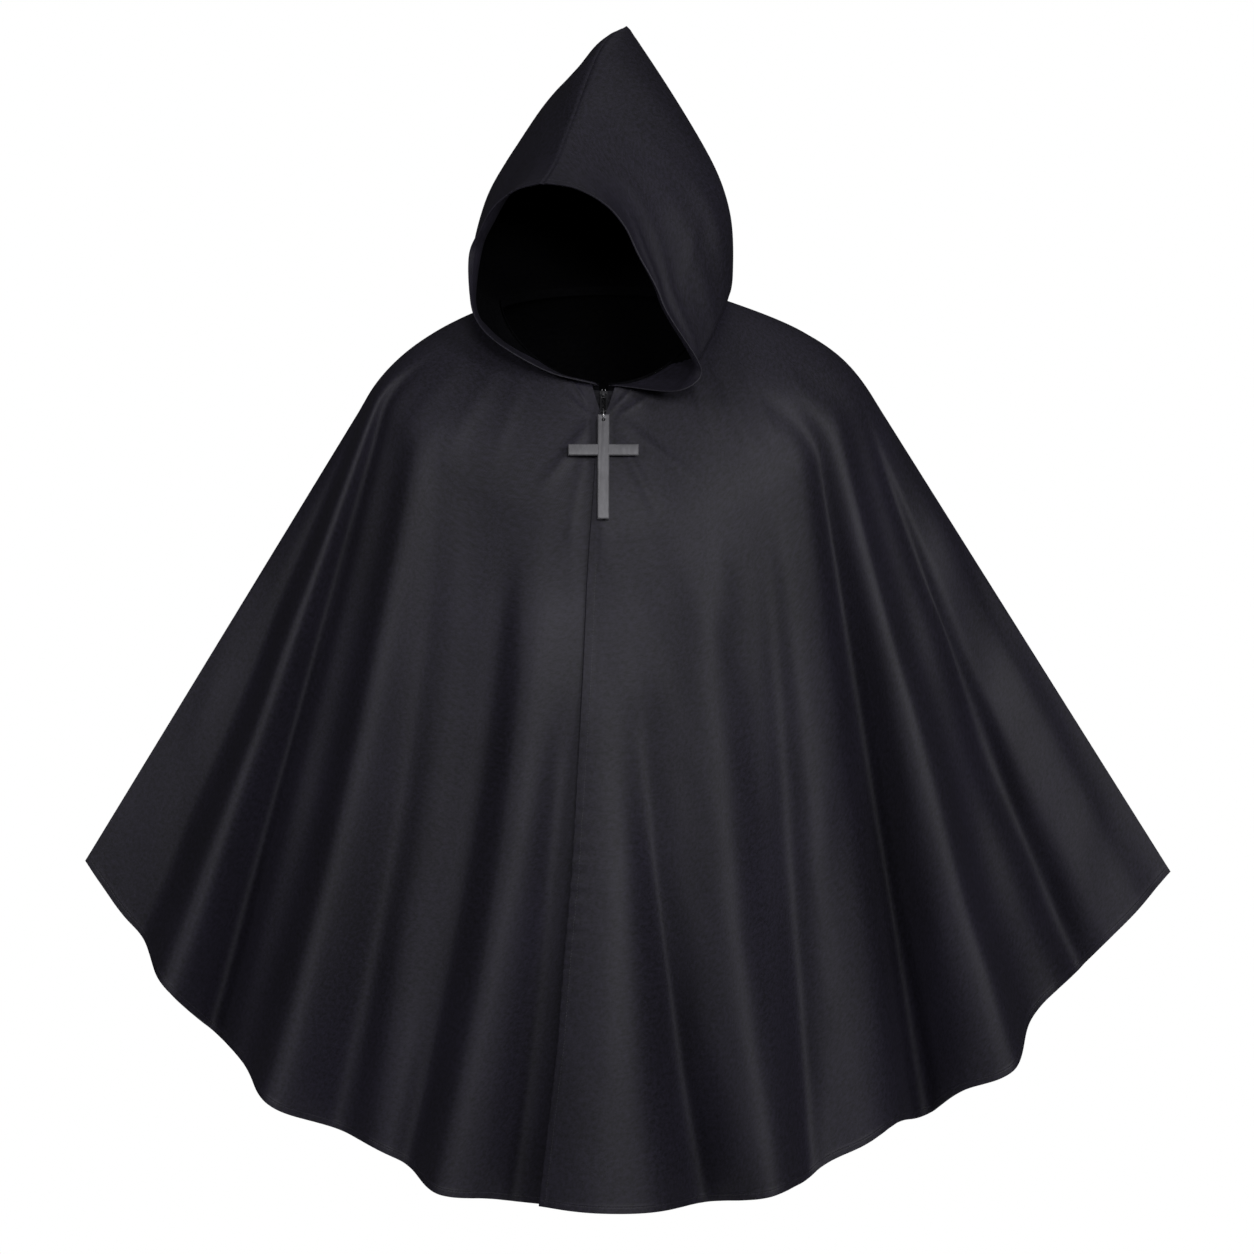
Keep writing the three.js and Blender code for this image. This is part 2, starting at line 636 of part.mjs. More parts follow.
// The slider, in directions of its own: x across, y up the zip, z out of the cloth's face
function sliderGeometry() {
  const plate = (z) =>
    bevelledBar(SLIDER.width, SLIDER.length, SLIDER.plate, SLIDER.bevel).translate(0, 0, z);
  const topMiddle = SLIDER.top + SLIDER.plate / 2;
  const bottomMiddle = -SLIDER.bottom - SLIDER.plate / 2;
  const post = new THREE.BoxGeometry(SLIDER.post, SLIDER.postLength, topMiddle - bottomMiddle);
  const postUp = (SLIDER.length - SLIDER.postLength) / 2 - SLIDER.postInset;
  post.translate(0, postUp, (topMiddle + bottomMiddle) / 2);
  const arch = new THREE.Shape();
  const half = BRIDGE.length / 2;
  arch.moveTo(-half, 0);
  arch.lineTo(half, 0);
  arch.lineTo(half, BRIDGE.height - BRIDGE.wall);
  arch.lineTo(half - BRIDGE.wall, BRIDGE.height);
  arch.lineTo(-half + BRIDGE.wall, BRIDGE.height);
  arch.lineTo(-half, BRIDGE.height - BRIDGE.wall);
  arch.closePath();
  const opening = new THREE.Path();
  opening.moveTo(-half + BRIDGE.wall, SLIDER.plate);
  opening.lineTo(-half + BRIDGE.wall, BRIDGE.height - BRIDGE.wall);
  opening.lineTo(half - BRIDGE.wall, BRIDGE.height - BRIDGE.wall);
  opening.lineTo(half - BRIDGE.wall, SLIDER.plate);
  opening.closePath();
  arch.holes.push(opening);
  const bridge = new THREE.ExtrudeGeometry(arch, { depth: BRIDGE.width, bevelEnabled: false });
  bridge.translate(0, 0, -BRIDGE.width / 2);
  // Stand the arch up: its length along the zip, its height out of the face
  const standing = new THREE.Matrix4().makeBasis(
    new THREE.Vector3(0, 1, 0),
    new THREE.Vector3(0, 0, 1),
    new THREE.Vector3(1, 0, 0),
  );
  bridge.applyMatrix4(standing);
  bridge.translate(0, 0, SLIDER.top);
  return geometryOf(
    solidOf(plate(topMiddle)).add(solidOf(plate(bottomMiddle))).add(solidOf(post)).add(solidOf(bridge)),
  );
}

// The cross, in directions of its own: the hole at the origin, y up the cross, z out of its face
function crossGeometry() {
  const upright = bevelledBar(CROSS.bar, CROSS.length, CROSS.thickness, CROSS.bevel);
  upright.translate(0, CROSS.holeDown - CROSS.length / 2, 0);
  const arms = bevelledBar(CROSS.width, CROSS.bar, CROSS.barThickness, CROSS.bevel);
  arms.translate(0, CROSS.holeDown - CROSS.barDown, 0);
  const hole = new THREE.CylinderGeometry(CROSS.holeRadius, CROSS.holeRadius, 3 * CROSS.thickness, 20);
  hole.rotateX(HALF_TURN);
  return geometryOf(solidOf(upright).add(solidOf(arms)).subtract(solidOf(hole)));
}

const cape = new THREE.Group();

function addPiece(name, geometry, look) {
  const mesh = new THREE.Mesh(geometry, new THREE.MeshStandardMaterial(look));
  mesh.name = name;
  cape.add(mesh);
  return mesh;
}

// The cape's three pieces
const leftEdge = (t) => between(FRONT_EDGES, "t", t, "left");
const rightEdge = (t) => between(FRONT_EDGES, "t", t, "right");
const rightSide = () => -1;
const leftSide = () => 1;
const overZip = (a, t, x) => zipRidge(x, t);
const overLap = (a, t, x) => zipRidge(x, t) + lapLift(a, t);
const flat = () => 0;
addPiece("front_right", capePiece(FRONT_COLUMNS, rightSide, rightEdge, true, overZip), BLACK_CLOTH);
addPiece("front_left", capePiece(FRONT_COLUMNS, leftEdge, leftSide, true, overLap), BLACK_CLOTH);
addPiece("back", capePiece(BACK_COLUMNS, rightSide, leftSide, false, flat), BLACK_CLOTH);

// The hood's two halves
const hoodRight = { side: -1, rim: RIM_RIGHT, swell: SWELL_RIGHT };
const hoodLeft = { side: 1, rim: RIM_LEFT, swell: SWELL_LEFT };
addPiece("hood_right", hoodPiece(hoodRight), BLACK_CLOTH);
addPiece("hood_left", hoodPiece(hoodLeft), BLACK_CLOTH);

// The zip: two tapes with the closed row of teeth on them
const tapeInner = ZIP.tapeGap / 2;
const tapeOuter = tapeInner + ZIP.tapeWidth;
const halfChain = ZIP.chainWidth / 2;
const tapeStrip = (from, to) =>
  zipStrip(ZIP.x + from, ZIP.x + to, ZIP.tapeDepth, ZIP.tapeDepth + ZIP.tape, ZIP.start);
addPiece("zip_tape_right", tapeStrip(-tapeOuter, -tapeInner), BLACK_TAPE);
addPiece("zip_tape_left", tapeStrip(tapeInner, tapeOuter), BLACK_TAPE);
const chain = zipStrip(ZIP.x - halfChain, ZIP.x + halfChain, ZIP.chainTop, ZIP.chainBottom, ZIP.chainStart);
addPiece("zip_chain", chain, BLACK_TEETH);

// The slider sits at the top of the zip, square to the cloth there
const sliderAcross = acrossAt(ZIP.x, SLIDER.t);
const sliderPlace = capeSurface(sliderAcross, SLIDER.t, true).setX(ZIP.x);
const sliderOut = capeNormal(sliderAcross, SLIDER.t, true).setX(0).normalize();
const across = new THREE.Vector3(1, 0, 0);
const sliderUp = sliderOut.clone().cross(across);
const slider = addPiece("zip_slider", sliderGeometry(), BLACK_METAL);
const sliderFrame = new THREE.Matrix4().makeBasis(across, sliderUp, sliderOut);
slider.applyMatrix4(sliderFrame.setPosition(sliderPlace));

// The ring runs through the hole of the cross and round the lower bar of the pull loop
const holePlace = new THREE.Vector3(ZIP.x, CROSS.hole[0], CROSS.hole[1]);
const crossUp = new THREE.Vector3(0, Math.sin(CROSS.tilt), Math.cos(CROSS.tilt));
const crossOut = new THREE.Vector3(0, -Math.cos(CROSS.tilt), Math.sin(CROSS.tilt));
const ringMiddle = holePlace.clone().addScaledVector(crossUp, RING.along - RING.belowHole);
const ringPath = [];
for (let k = 0; k < RING_STEPS; k += 1) {
  const turn = (2 * Math.PI * k) / RING_STEPS;
  const up = RING.along * Math.cos(turn);
  const out = RING.across * Math.sin(turn);
  ringPath.push(ringMiddle.clone().addScaledVector(crossUp, up).addScaledVector(crossOut, out));
}
addPiece("cross_ring", wireLoop(ringPath, RING.wire, across), GREY_METAL);

// The pull loop hangs through the slider's bridge and reaches down to the ring
const hinge = sliderPlace.clone().addScaledVector(sliderOut, SLIDER.top + SLIDER.plate + PULL.height);
const lowerBar = ringMiddle.clone().addScaledVector(crossUp, RING.along - RING.wire - RING.gap - PULL.wire);
const pullDown = lowerBar.clone().sub(hinge).normalize();
const pullOut = across.clone().cross(pullDown).negate();
const pullLength = lowerBar.distanceTo(hinge);
const cornerX = PULL.width / 2 - PULL.corner;
const corners = [
  { x: cornerX, down: PULL.corner },
  { x: -cornerX, down: PULL.corner },
  { x: -cornerX, down: pullLength - PULL.corner },
  { x: cornerX, down: pullLength - PULL.corner },
];
const pullPath = [];
corners.forEach((corner, quarter) => {
  for (let k = 0; k <= CORNER_STEPS; k += 1) {
    const turn = HALF_TURN * (quarter + k / CORNER_STEPS);
    const x = corner.x + PULL.corner * Math.cos(turn);
    const down = corner.down - PULL.corner * Math.sin(turn);
    pullPath.push(hinge.clone().addScaledVector(across, x).addScaledVector(pullDown, down));
  }
});
addPiece("zip_pull", wireLoop(pullPath, PULL.wire, pullOut), BLACK_METAL);

// The cross
const cross = addPiece("cross", crossGeometry(), GREY_METAL);
const crossFrame = new THREE.Matrix4().makeBasis(across, crossUp, crossOut);
cross.applyMatrix4(crossFrame.setPosition(holePlace));

export default cape;
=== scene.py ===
import math

import bmesh
import bpy
import numpy as np
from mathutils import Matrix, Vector


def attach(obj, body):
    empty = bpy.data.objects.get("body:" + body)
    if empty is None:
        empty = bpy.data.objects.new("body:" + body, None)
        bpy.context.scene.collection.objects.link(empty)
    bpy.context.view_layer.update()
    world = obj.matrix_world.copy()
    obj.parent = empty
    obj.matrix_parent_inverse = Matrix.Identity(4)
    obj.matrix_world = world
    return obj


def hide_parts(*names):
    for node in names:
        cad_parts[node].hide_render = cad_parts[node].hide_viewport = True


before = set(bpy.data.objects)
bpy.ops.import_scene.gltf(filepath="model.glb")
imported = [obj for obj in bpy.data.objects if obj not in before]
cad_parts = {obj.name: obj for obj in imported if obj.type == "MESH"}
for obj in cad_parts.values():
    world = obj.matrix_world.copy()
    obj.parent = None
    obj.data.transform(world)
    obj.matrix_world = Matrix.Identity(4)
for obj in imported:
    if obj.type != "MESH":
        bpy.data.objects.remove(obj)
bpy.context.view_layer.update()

# The cape's cut: what its fronts and back share
# Black twill, cut as two fronts and a back that flare from the neck. It is carried by the shoulders
# and falls from them in soft folds. All sizes in this file are millimetres until a mesh is made.

CLOTH = 0.9
SEAM = 0.15
NECK = dict(x=-22, half=118, front=100, back=80, right_z=2, left_z=9, front_z=-90, back_z=20)
SHOULDER = dict(right=285, left=270, z=-102, front=150, back=118, front_drop=150, back_drop=120)
SHOULDER_SHARE = 0.19
SHOULDER_ROUND = 0.85
HEM = dict(right=598, left=600, right_z=-612, left_z=-624, front_z=-956, back_z=-950, front=200, back=195)
HEM_CURVE = dict(right=2.57, left=1.85)
HEM_SPREAD = (1.5, 1.05)
# The slope in degrees at which the cloth leaves the neck, and the lengths of the shoulder curve's handles
SLOPE = dict(side=19, front=53, back=23)
HANDLE = dict(neck_side=0.36, neck_middle=0.42, right=0.34, left=0.38, middle=0.3)
# Folds start this far below their place, grow with this power, and die away this near to a side seam
FOLD = dict(below=0.04, power=0.9, rise=0.2, seam=0.06)

# at, outer and inner width, depth, lean, start, drift, drop
FRONT_FOLDS = (
    (-0.885, 0.035, 0.035, -16, 0, 0, -0.01, -6),
    (-0.817, 0.05, 0.055, 50, 10, 0, 0, -12),
    (-0.76, 0.026, 0.032, -50, 0, 0, -0.005, 12),
    (-0.605, 0.063, 0.06, 66, 18, 0.02, 0.045, -4),
    (-0.52, 0.035, 0.04, -26, 0, 0.2, 0.07, 4),
    (-0.448, 0.05, 0.05, 14, 0, 0.02, 0, -4),
    (-0.385, 0.03, 0.035, -14, 0, 0.1, 0.1, 0),
    (-0.305, 0.065, 0.075, 58, 14, 0.12, 0.1, 3),
    (-0.195, 0.035, 0.045, -34, 0, 0.3, 0.07, 9),
    (0.02, 0.13, 0.2, 50, 0, 0.2, -0.04, -3),
    (0.135, 0.045, 0.05, -50, 0, 0.25, -0.13, 8),
    (0.25, 0.07, 0.075, 56, 6, 0.1, -0.07, 1),
    (0.315, 0.03, 0.03, -16, 0, 0.1, 0.045, 7),
    (0.43, 0.06, 0.06, 14, 0, 0, -0.03, 3),
    (0.542, 0.035, 0.04, -72, 0, 0, 0, 30),
    (0.658, 0.052, 0.075, 60, 18, 0, -0.03, 14),
    (0.83, 0.028, 0.032, -34, 0, 0.1, -0.035, 9),
    (0.93, 0.05, 0.06, 12, 0, 0.1, 0, 0),
)
BACK_FOLDS = (
    (-0.86, 0.04, 0.06, 54, 12, 0.04, 0, 0),
    (-0.64, 0.045, 0.065, 72, 18, 0.03, 0.03, 6),
    (-0.52, 0.04, 0.05, -22, 0, 0.1, 0.03, 0),
    (-0.36, 0.05, 0.08, 66, 14, 0.12, 0.06, 6),
    (-0.1, 0.08, 0.09, 52, 8, 0.22, 0.02, 2),
    (0.17, 0.07, 0.08, 58, 10, 0.16, -0.03, 4),
    (0.42, 0.05, 0.075, 70, 16, 0.08, -0.05, 6),
    (0.55, 0.04, 0.05, -20, 0, 0.1, -0.03, 0),
    (0.68, 0.042, 0.06, 68, 18, 0.02, -0.02, 4),
    (0.88, 0.04, 0.05, 48, 10, 0.05, 0, 0),
)

# t, left edge, right edge: the left front laps over the right one below a small V at the neck
FRONT_EDGES = np.array((
    (0, 0.05, -0.083),
    (0.034, -0.02, -0.024),
    (0.055, -0.057, -0.03),
    (0.085, -0.07, -0.04),
    (0.12, -0.079, -0.05),
    (0.155, -0.085, -0.056),
    (0.19, -0.09, -0.052),
    (0.25, -0.095, -0.046),
    (0.4, -0.1, -0.048),
    (0.6, -0.0995, -0.05),
    (0.8, -0.109, -0.06),
    (1, -0.133, -0.084),
))
LAP = dict(lift=3.2, full=0.07, fade=0.16, low=0.004, high=0.034)
LOWER_LAP = dict(lift=15, low=0.3, high=0.8)
ZIP_RIDGE = dict(lift=2, width=9, low=0.16, high=0.25)
ZIP_X = -25


def smooth(x):
    """An even step: 3x^2 - 2x^3 with x held between 0 and 1."""
    c = np.clip(x, 0, 1)
    return c * c * (3 - 2 * c)


def mix(a, b, share):
    """A value on the straight line from a (share 0) to b (share 1)."""
    return a + (b - a) * share


def unit(v):
    """Vectors divided by their own lengths."""
    return v / np.maximum(np.linalg.norm(v, axis=-1, keepdims=True), 1e-12)


def neck_ring(s, c, front):
    """A point of the neck ring: an oval in X and Y whose height goes with c^1.3."""
    depth = -NECK["front"] if front else NECK["back"]
    z = NECK["front_z"] if front else NECK["back_z"]
    side_z = mix(NECK["right_z"], NECK["left_z"], (s + 1) / 2)
    return np.stack([NECK["x"] + NECK["half"] * s, depth * c, mix(side_z, z, c ** 1.3)], -1)


def cape_surface(a, t, front):
    """The cape's face: a runs from the right side seam (-1) to the left (1), t from neck to hem.

    A cubic curve leads from the neck ring over the shoulder ring, a straight fall leads on to the hem,
    and each fold adds depth * exp(-(distance / width)^2), growing with t.
    """
    a, t = np.broadcast_arrays(np.asarray(a, float), np.asarray(t, float))
    side = -1 if front else 1
    s = np.sin(a * math.pi / 2)
    c = np.maximum(np.cos(a * math.pi / 2), 0)
    to_left = smooth((a + 1) / 2)
    neck = neck_ring(s, c, front)
    half = mix(SHOULDER["right"], SHOULDER["left"], to_left)
    word = "front" if front else "back"
    depth, drop = SHOULDER[word], SHOULDER[word + "_drop"]
    shoulder = np.stack([half * s, side * depth * c ** SHOULDER_ROUND, SHOULDER["z"] - drop * c * c], -1)
    tip_z = mix(HEM["right_z"], HEM["left_z"], to_left)
    curve = mix(HEM_CURVE["right"], HEM_CURVE["left"], to_left)
    wide = np.abs(a)
    spread = np.maximum(1 - wide ** HEM_SPREAD[0], 0) ** HEM_SPREAD[1]
    hem = np.stack([
        mix(HEM["right"], HEM["left"], to_left) * a,
        side * HEM[word] * spread,
        mix(HEM[word + "_z"], tip_z, wide ** curve),
    ], -1)
    span = np.linalg.norm(shoulder - neck, axis=-1)[..., None]
    middle = (c * c)[..., None]
    slope = np.radians(SLOPE["side"] + SLOPE[word] * c * c)
    out = np.stack([s * np.cos(slope), side * c * np.cos(slope), -np.sin(slope)], -1)
    early = neck + out * mix(HANDLE["neck_side"], HANDLE["neck_middle"], middle) * span
    late_side = mix(HANDLE["right"], HANDLE["left"], to_left)[..., None]
    late = shoulder - unit(hem - shoulder) * mix(late_side, HANDLE["middle"], middle) * span
    bend = np.minimum(t / SHOULDER_SHARE, 1)[..., None]
    rest = 1 - bend
    point = (rest ** 3 * neck + 3 * rest * rest * bend * early
             + 3 * rest * bend * bend * late + bend ** 3 * shoulder)
    point = point + np.maximum((t - SHOULDER_SHARE) / (1 - SHOULDER_SHARE), 0)[..., None] * (hem - shoulder)
    held = smooth((1 - wide) / FOLD["seam"])
    for at, outer, inner, deep, lean, start, drift, hang in FRONT_FOLDS if front else BACK_FOLDS:
        outwards = math.copysign(1, at)
        off = (a - at - drift * (1 - t * t)) * outwards
        width = np.where(off > 0, outer, inner)
        share = np.maximum((t - start - FOLD["below"]) / (1 - FOLD["below"] - start), 0)
        grown = share ** FOLD["power"] * smooth(share / FOLD["rise"])
        height = np.exp(-(off / width) ** 2) * grown * held
        point = point + height[..., None] * np.array([lean * outwards, side * deep, -hang])
    return point


def cape_normal(a, t, front):
    """The outward direction: the cross product of the steps down and across, made one long."""
    step = 0.002
    across = cape_surface(np.minimum(a + step, 1), t, front)
    across = across - cape_surface(np.maximum(a - step, -1), t, front)
    down = cape_surface(a, np.minimum(t + step, 1), front)
    down = down - cape_surface(a, np.maximum(t - step, 0), front)
    return unit(np.cross(down, across)) * (1 if front else -1)


# A crease's height at its ends is that of a sine this far along
CREASE_ENDS = (0.12, 0.88)


def crease(x, z, lines):
    """The height of creases: each line of (x0, z0, x1, z1, width, height) adds
    height * exp(-(distance / width)^2), and dies away towards both its ends."""
    total = np.zeros(np.broadcast(x, z).shape)
    for x0, z0, x1, z1, width, height in lines:
        dx, dz = x1 - x0, z1 - z0
        along = ((x - x0) * dx + (z - z0) * dz) / (dx * dx + dz * dz)
        near = np.clip(along, 0, 1)
        d2 = (x - x0 - near * dx) ** 2 + (z - z0 - near * dz) ** 2
        fade = np.sin(math.pi * np.clip(mix(*CREASE_ENDS, along), 0, 1))
        total = total + height * np.exp(-d2 / width ** 2) * fade
    return total


def rumple(x, z, seed, reach):
    """Soft uneven drape: twelve sine waves with steep, seeded directions, added up to about 1."""
    chance = np.random.default_rng(seed)
    total = np.zeros(np.broadcast(x, z).shape)
    for _ in range(12):
        length = reach * chance.uniform(0.6, 1.8)
        tilt = chance.normal(0, 0.28)
        phase = chance.uniform(0, 2 * math.pi)
        total = total + np.sin(2 * math.pi * (x * math.cos(tilt) + z * math.sin(tilt)) / length + phase)
    return total / 5


def run_length(points, axis=0):
    """The distance of each point from the first one, along the rows or columns of a line or grid."""
    steps = np.linalg.norm(np.diff(points, axis=axis), axis=-1)
    start = np.zeros_like(np.take(steps, [0], axis=axis))
    return np.concatenate([start, np.cumsum(steps, axis=axis)], axis=axis)


def even_shares(count, low, high, front):
    """Shares between two places on the hem that are evenly spaced along it."""
    fine = np.linspace(0, 1, 1500)
    lengths = run_length(cape_surface(mix(low, high, fine), 1.0, front))
    return np.interp(np.linspace(0, lengths[-1], count + 1), lengths, fine)


def soft_mesh(name, points, faces):
    """A mesh with soft shading, from points in millimetres."""
    mesh = bpy.data.meshes.new(name)
    mesh.from_pydata((points.reshape(-1, 3) / 1000).tolist(), [], faces)
    mesh.polygons.foreach_set("use_smooth", np.ones(len(faces), bool))
    mesh.update()
    return mesh


def placed(name, data):
    """A new object of the scene, at the origin."""
    piece = bpy.data.objects.new(name, data)
    bpy.context.scene.collection.objects.link(piece)
    return piece


def closed_cloth(name, outer, inner, flat_u, flat_v, facing=0):
    """A closed sheet from two grids of points in millimetres: the face, the inside, and strips along
    the four edges. flat_u and flat_v are the cloth's own flat measures, kept as UVs in metres. Inside,
    the face's own material goes on up to the facing's width from the first edge."""
    rows, columns = outer.shape[:2]
    count = rows * columns
    index = np.arange(count).reshape(rows, columns)
    a, b, c, d = index[:-1, :-1], index[1:, :-1], index[1:, 1:], index[:-1, 1:]
    face = np.stack([a, b, c, d], -1).reshape(-1, 4)
    inside = face[:, ::-1] + count
    loop = np.concatenate([index[0, :-1], index[:-1, -1], index[-1, :0:-1], index[:0:-1, 0]])
    ahead = np.roll(loop, -1)
    edge = np.stack([loop, ahead, ahead + count, loop + count], -1)
    points = np.concatenate([outer.reshape(-1, 3), inner.reshape(-1, 3)])
    faces = np.concatenate([face, inside, edge])
    p = points[faces]
    volume = np.einsum("ij,ij->i", p[:, 0], np.cross(p[:, 1], p[:, 2])).sum()
    volume += np.einsum("ij,ij->i", p[:, 0], np.cross(p[:, 2], p[:, 3])).sum()
    if volume < 0:
        faces = faces[:, ::-1]
    mesh = soft_mesh(name, points, faces.tolist())
    material = np.zeros(len(faces), np.int32)
    # Inside faces past the facing take the second material, which is painted darker as shade.
    material[len(face):2 * len(face)] = (flat_u[:-1, :-1] >= facing).ravel()
    mesh.polygons.foreach_set("material_index", material)
    uv = np.stack([flat_u, flat_v], -1).reshape(-1, 2) / 1000
    layer = mesh.uv_layers.new(name="flat")
    layer.data.foreach_set("uv", np.concatenate([uv, uv])[faces.ravel()].ravel())
    return placed(name, mesh)


def node(tree, kind, values=None, **settings):
    """A node of a kind, with values for its inputs by name or number, and its settings."""
    made = tree.nodes.new(kind)
    for key, value in settings.items():
        setattr(made, key, value)
    for key, value in (values or {}).items():
        if hasattr(value, "is_output"):
            tree.links.new(value, made.inputs[key])
        else:
            made.inputs[key].default_value = value
    return made


def noise(tree, place, scale, detail, roughness=0.5):
    """The tone of a noise over a place."""
    values = {"Vector": place, "Scale": scale, "Detail": detail, "Roughness": roughness}
    return node(tree, "ShaderNodeTexNoise", values).outputs["Fac"]


def maths(tree, operation, *values):
    """The result of one sum on two or three values."""
    return node(tree, "ShaderNodeMath", dict(enumerate(values)), operation=operation).outputs[0]


def blend(tree, share, dark, light):
    """A colour between two colours."""
    values = {"Factor": share, "A": dark, "B": light}
    return node(tree, "ShaderNodeMix", values, data_type="RGBA").outputs["Result"]


def ranged(tree, value, **limits):
    """A value mapped to other limits."""
    limits = {key.replace("_", " ").title(): limit for key, limit in limits.items()}
    return node(tree, "ShaderNodeMapRange", {"Value": value, **limits}).outputs[0]


def bumped(tree, height, strength, distance):
    """The direction of a surface with fine relief."""
    values = {"Height": height, "Strength": strength, "Distance": distance}
    return node(tree, "ShaderNodeBump", values).outputs[0]


def blank_material(name):
    """A material with an empty tree."""
    material = bpy.data.materials.new(name)
    material.use_nodes = True
    material.node_tree.nodes.clear()
    return material, material.node_tree


def shade(tree, values):
    """The material's surface."""
    shader = node(tree, "ShaderNodeBsdfPrincipled", values)
    node(tree, "ShaderNodeOutputMaterial", {"Surface": shader.outputs[0]})


def grained(name, scale, detail, tones, roughness, specular=0.5, relief=None):
    """A material whose tone runs from dark to light with a noise over the piece's own places. Relief is
    the strength and depth of the same noise as a bump."""
    material, tree = blank_material(name)
    grain = noise(tree, node(tree, "ShaderNodeTexCoord").outputs["Object"], scale, detail)
    values = {"Base Color": blend(tree, grain, *tones), "Roughness": roughness}
    values["Specular IOR Level"] = specular
    if relief:
        values["Normal"] = bumped(tree, grain, *relief)
    shade(tree, values)
    return material


def group_of(name, inputs, outputs):
    """A shader node group with named inputs (with their values) and outputs, and its input node."""
    group = bpy.data.node_groups.new(name, "ShaderNodeTree")
    for label, kind, value in inputs:
        socket = group.interface.new_socket(name=label, in_out="INPUT", socket_type="NodeSocket" + kind)
        if value is not None:
            socket.default_value = value
    for label, kind in outputs:
        group.interface.new_socket(name=label, in_out="OUTPUT", socket_type="NodeSocket" + kind)
    return group, node(group, "NodeGroupInput")


# Twill: slanting ribs from a wave along the cloth's flat measures, broken up by the threads' unevenness.
# At this scale the wave texture has about one rib for each unit of length.
ONE_RIB = 0.3183

twill, took = group_of(
    "twill",
    [("Flat", "Vector", None), ("Ribs per metre", "Float", 1250.0), ("Slant", "Float", 0.9)],
    [("Height", "Float"), ("Tone", "Float"), ("Patches", "Float"), ("Mottle", "Float")],
)
flat = took.outputs["Flat"]
values = {"Vector": flat, "Angle": took.outputs["Slant"]}
turned = node(twill, "ShaderNodeVectorRotate", values, rotation_type="Z_AXIS")
values = {0: turned.outputs[0], "Scale": took.outputs["Ribs per metre"]}
scaled = node(twill, "ShaderNodeVectorMath", values, operation="SCALE")
values = {"Vector": scaled.outputs[0], "Scale": ONE_RIB}
values.update({"Distortion": 1.4, "Detail": 1.0, "Detail Scale": 0.5})
ribs = node(twill, "ShaderNodeTexWave", values, wave_type="BANDS", bands_direction="X").outputs["Fac"]
slubs = noise(twill, flat, 420.0, 3.0, 0.65)
node(twill, "NodeGroupOutput", {
    "Height": maths(twill, "MULTIPLY_ADD", slubs, 0.55, ribs),
    "Tone": maths(twill, "MULTIPLY", ribs, slubs),
    "Patches": noise(twill, flat, 5.5, 4.0, 0.55),
    "Mottle": noise(twill, flat, 210.0, 6.0, 0.72),
})


TWILL_TONE = dict(mottle=2.8, less=1.6, ribs=0.7)
TWILL_RELIEF = (0.35, 0.00012)


def twill_cloth(name, dark, light, roughness, specular):
    """Twill dyed black: its tone runs from dark to light with the ribs, a fine mottle and soft patches."""
    material, tree = blank_material(name)
    flat = node(tree, "ShaderNodeUVMap", uv_map="flat").outputs[0]
    weave = node(tree, "ShaderNodeGroup", {"Flat": flat}, node_tree=twill)
    patches = weave.outputs["Patches"]
    cloudy = maths(tree, "MULTIPLY_ADD", weave.outputs["Mottle"], TWILL_TONE["mottle"], patches)
    cloudy = maths(tree, "SUBTRACT", cloudy, TWILL_TONE["less"])
    share = maths(tree, "MULTIPLY_ADD", weave.outputs["Tone"], TWILL_TONE["ribs"], cloudy)
    shade(tree, {
        "Base Color": blend(tree, share, dark, light),
        "Roughness": ranged(tree, patches, to_min=roughness + 0.06, to_max=roughness - 0.06),
        "Normal": bumped(tree, weave.outputs["Height"], *TWILL_RELIEF),
        "Specular IOR Level": specular,
    })
    return material


FACE_TONES = ((0.0036, 0.003, 0.0063, 1), (0.0205, 0.0176, 0.0335, 1))
# The inside is painted far darker and duller than the face: painted shade for the hollow of the hood, the
# neck and the inside of the cape.
INSIDE_PAINTED_SHADE_TONES = ((0.001, 0.001, 0.0015, 1), (0.004, 0.004, 0.005, 1))
face_side = twill_cloth("black_twill_face", *FACE_TONES, 0.62, 0.45)
wrong_side_painted_shade = twill_cloth("black_twill_inside_painted_shade", *INSIDE_PAINTED_SHADE_TONES, 0.85, 0.05)


def dress(piece, slot, *materials):
    """Puts materials on a piece that rides with the cape; the slot is not used."""
    for material in materials:
        piece.data.materials.append(material)
    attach(piece, "cape")


# A turned edge: the step down to the cloth, its stitched groove, its rounding, and how thick one layer
# of it shows on the inside
BAND_STEP = 0.9
BAND_RISE = 0.35
GROOVE = dict(inset=1.3, deep=0.28, width=0.5)
ROUNDED = dict(width=0.7, deep=0.42)
FOLDED = 0.4
HEM_BAND = 8
CAPE_LENGTH = 860
# Distances of the rows from the hem in millimetres, and of the columns from an edge as shares of the width
HEM_ROWS = np.array((0, 0.25, 0.7, 1.4, 3, 4.8, 5.8, 6.4, 7.0, 7.6, 8.2, 9.2, 11, 14, 18, 23))
EDGE_SHARE = 0.021
NEAR_EDGE = np.array((
    0, 0.0003, 0.0009, 0.002, 0.0045, 0.0065, 0.0078, 0.0088, 0.0098, 0.012, 0.015, 0.0185,
))


def cape_rows(count):
    """t of the rows from neck to hem: close at the neck, then even, then fine along the hem band."""
    hem = 1 - HEM_ROWS / CAPE_LENGTH
    split = 0.2
    upper = np.linspace(0, split, count // 3, endpoint=False)
    lower = np.linspace(split, hem[-1], count - len(upper) - len(hem), endpoint=False)
    return np.concatenate([upper, lower, hem[::-1]])


def band(distance, width, rise):
    """A turned edge: raised by rise up to width from the edge, with a stitched groove near its inner
    end, and rounded off at the very edge."""
    step = rise * (1 - smooth((distance - width) / BAND_STEP))
    groove = -GROOVE["deep"] * np.exp(-((distance - width + GROOVE["inset"]) / GROOVE["width"]) ** 2)
    near = 1 - np.minimum(distance, ROUNDED["width"]) / ROUNDED["width"]
    round_off = -ROUNDED["deep"] * (1 - np.sqrt(np.clip(1 - near ** 2, 0, 1)))
    return step + groove + round_off


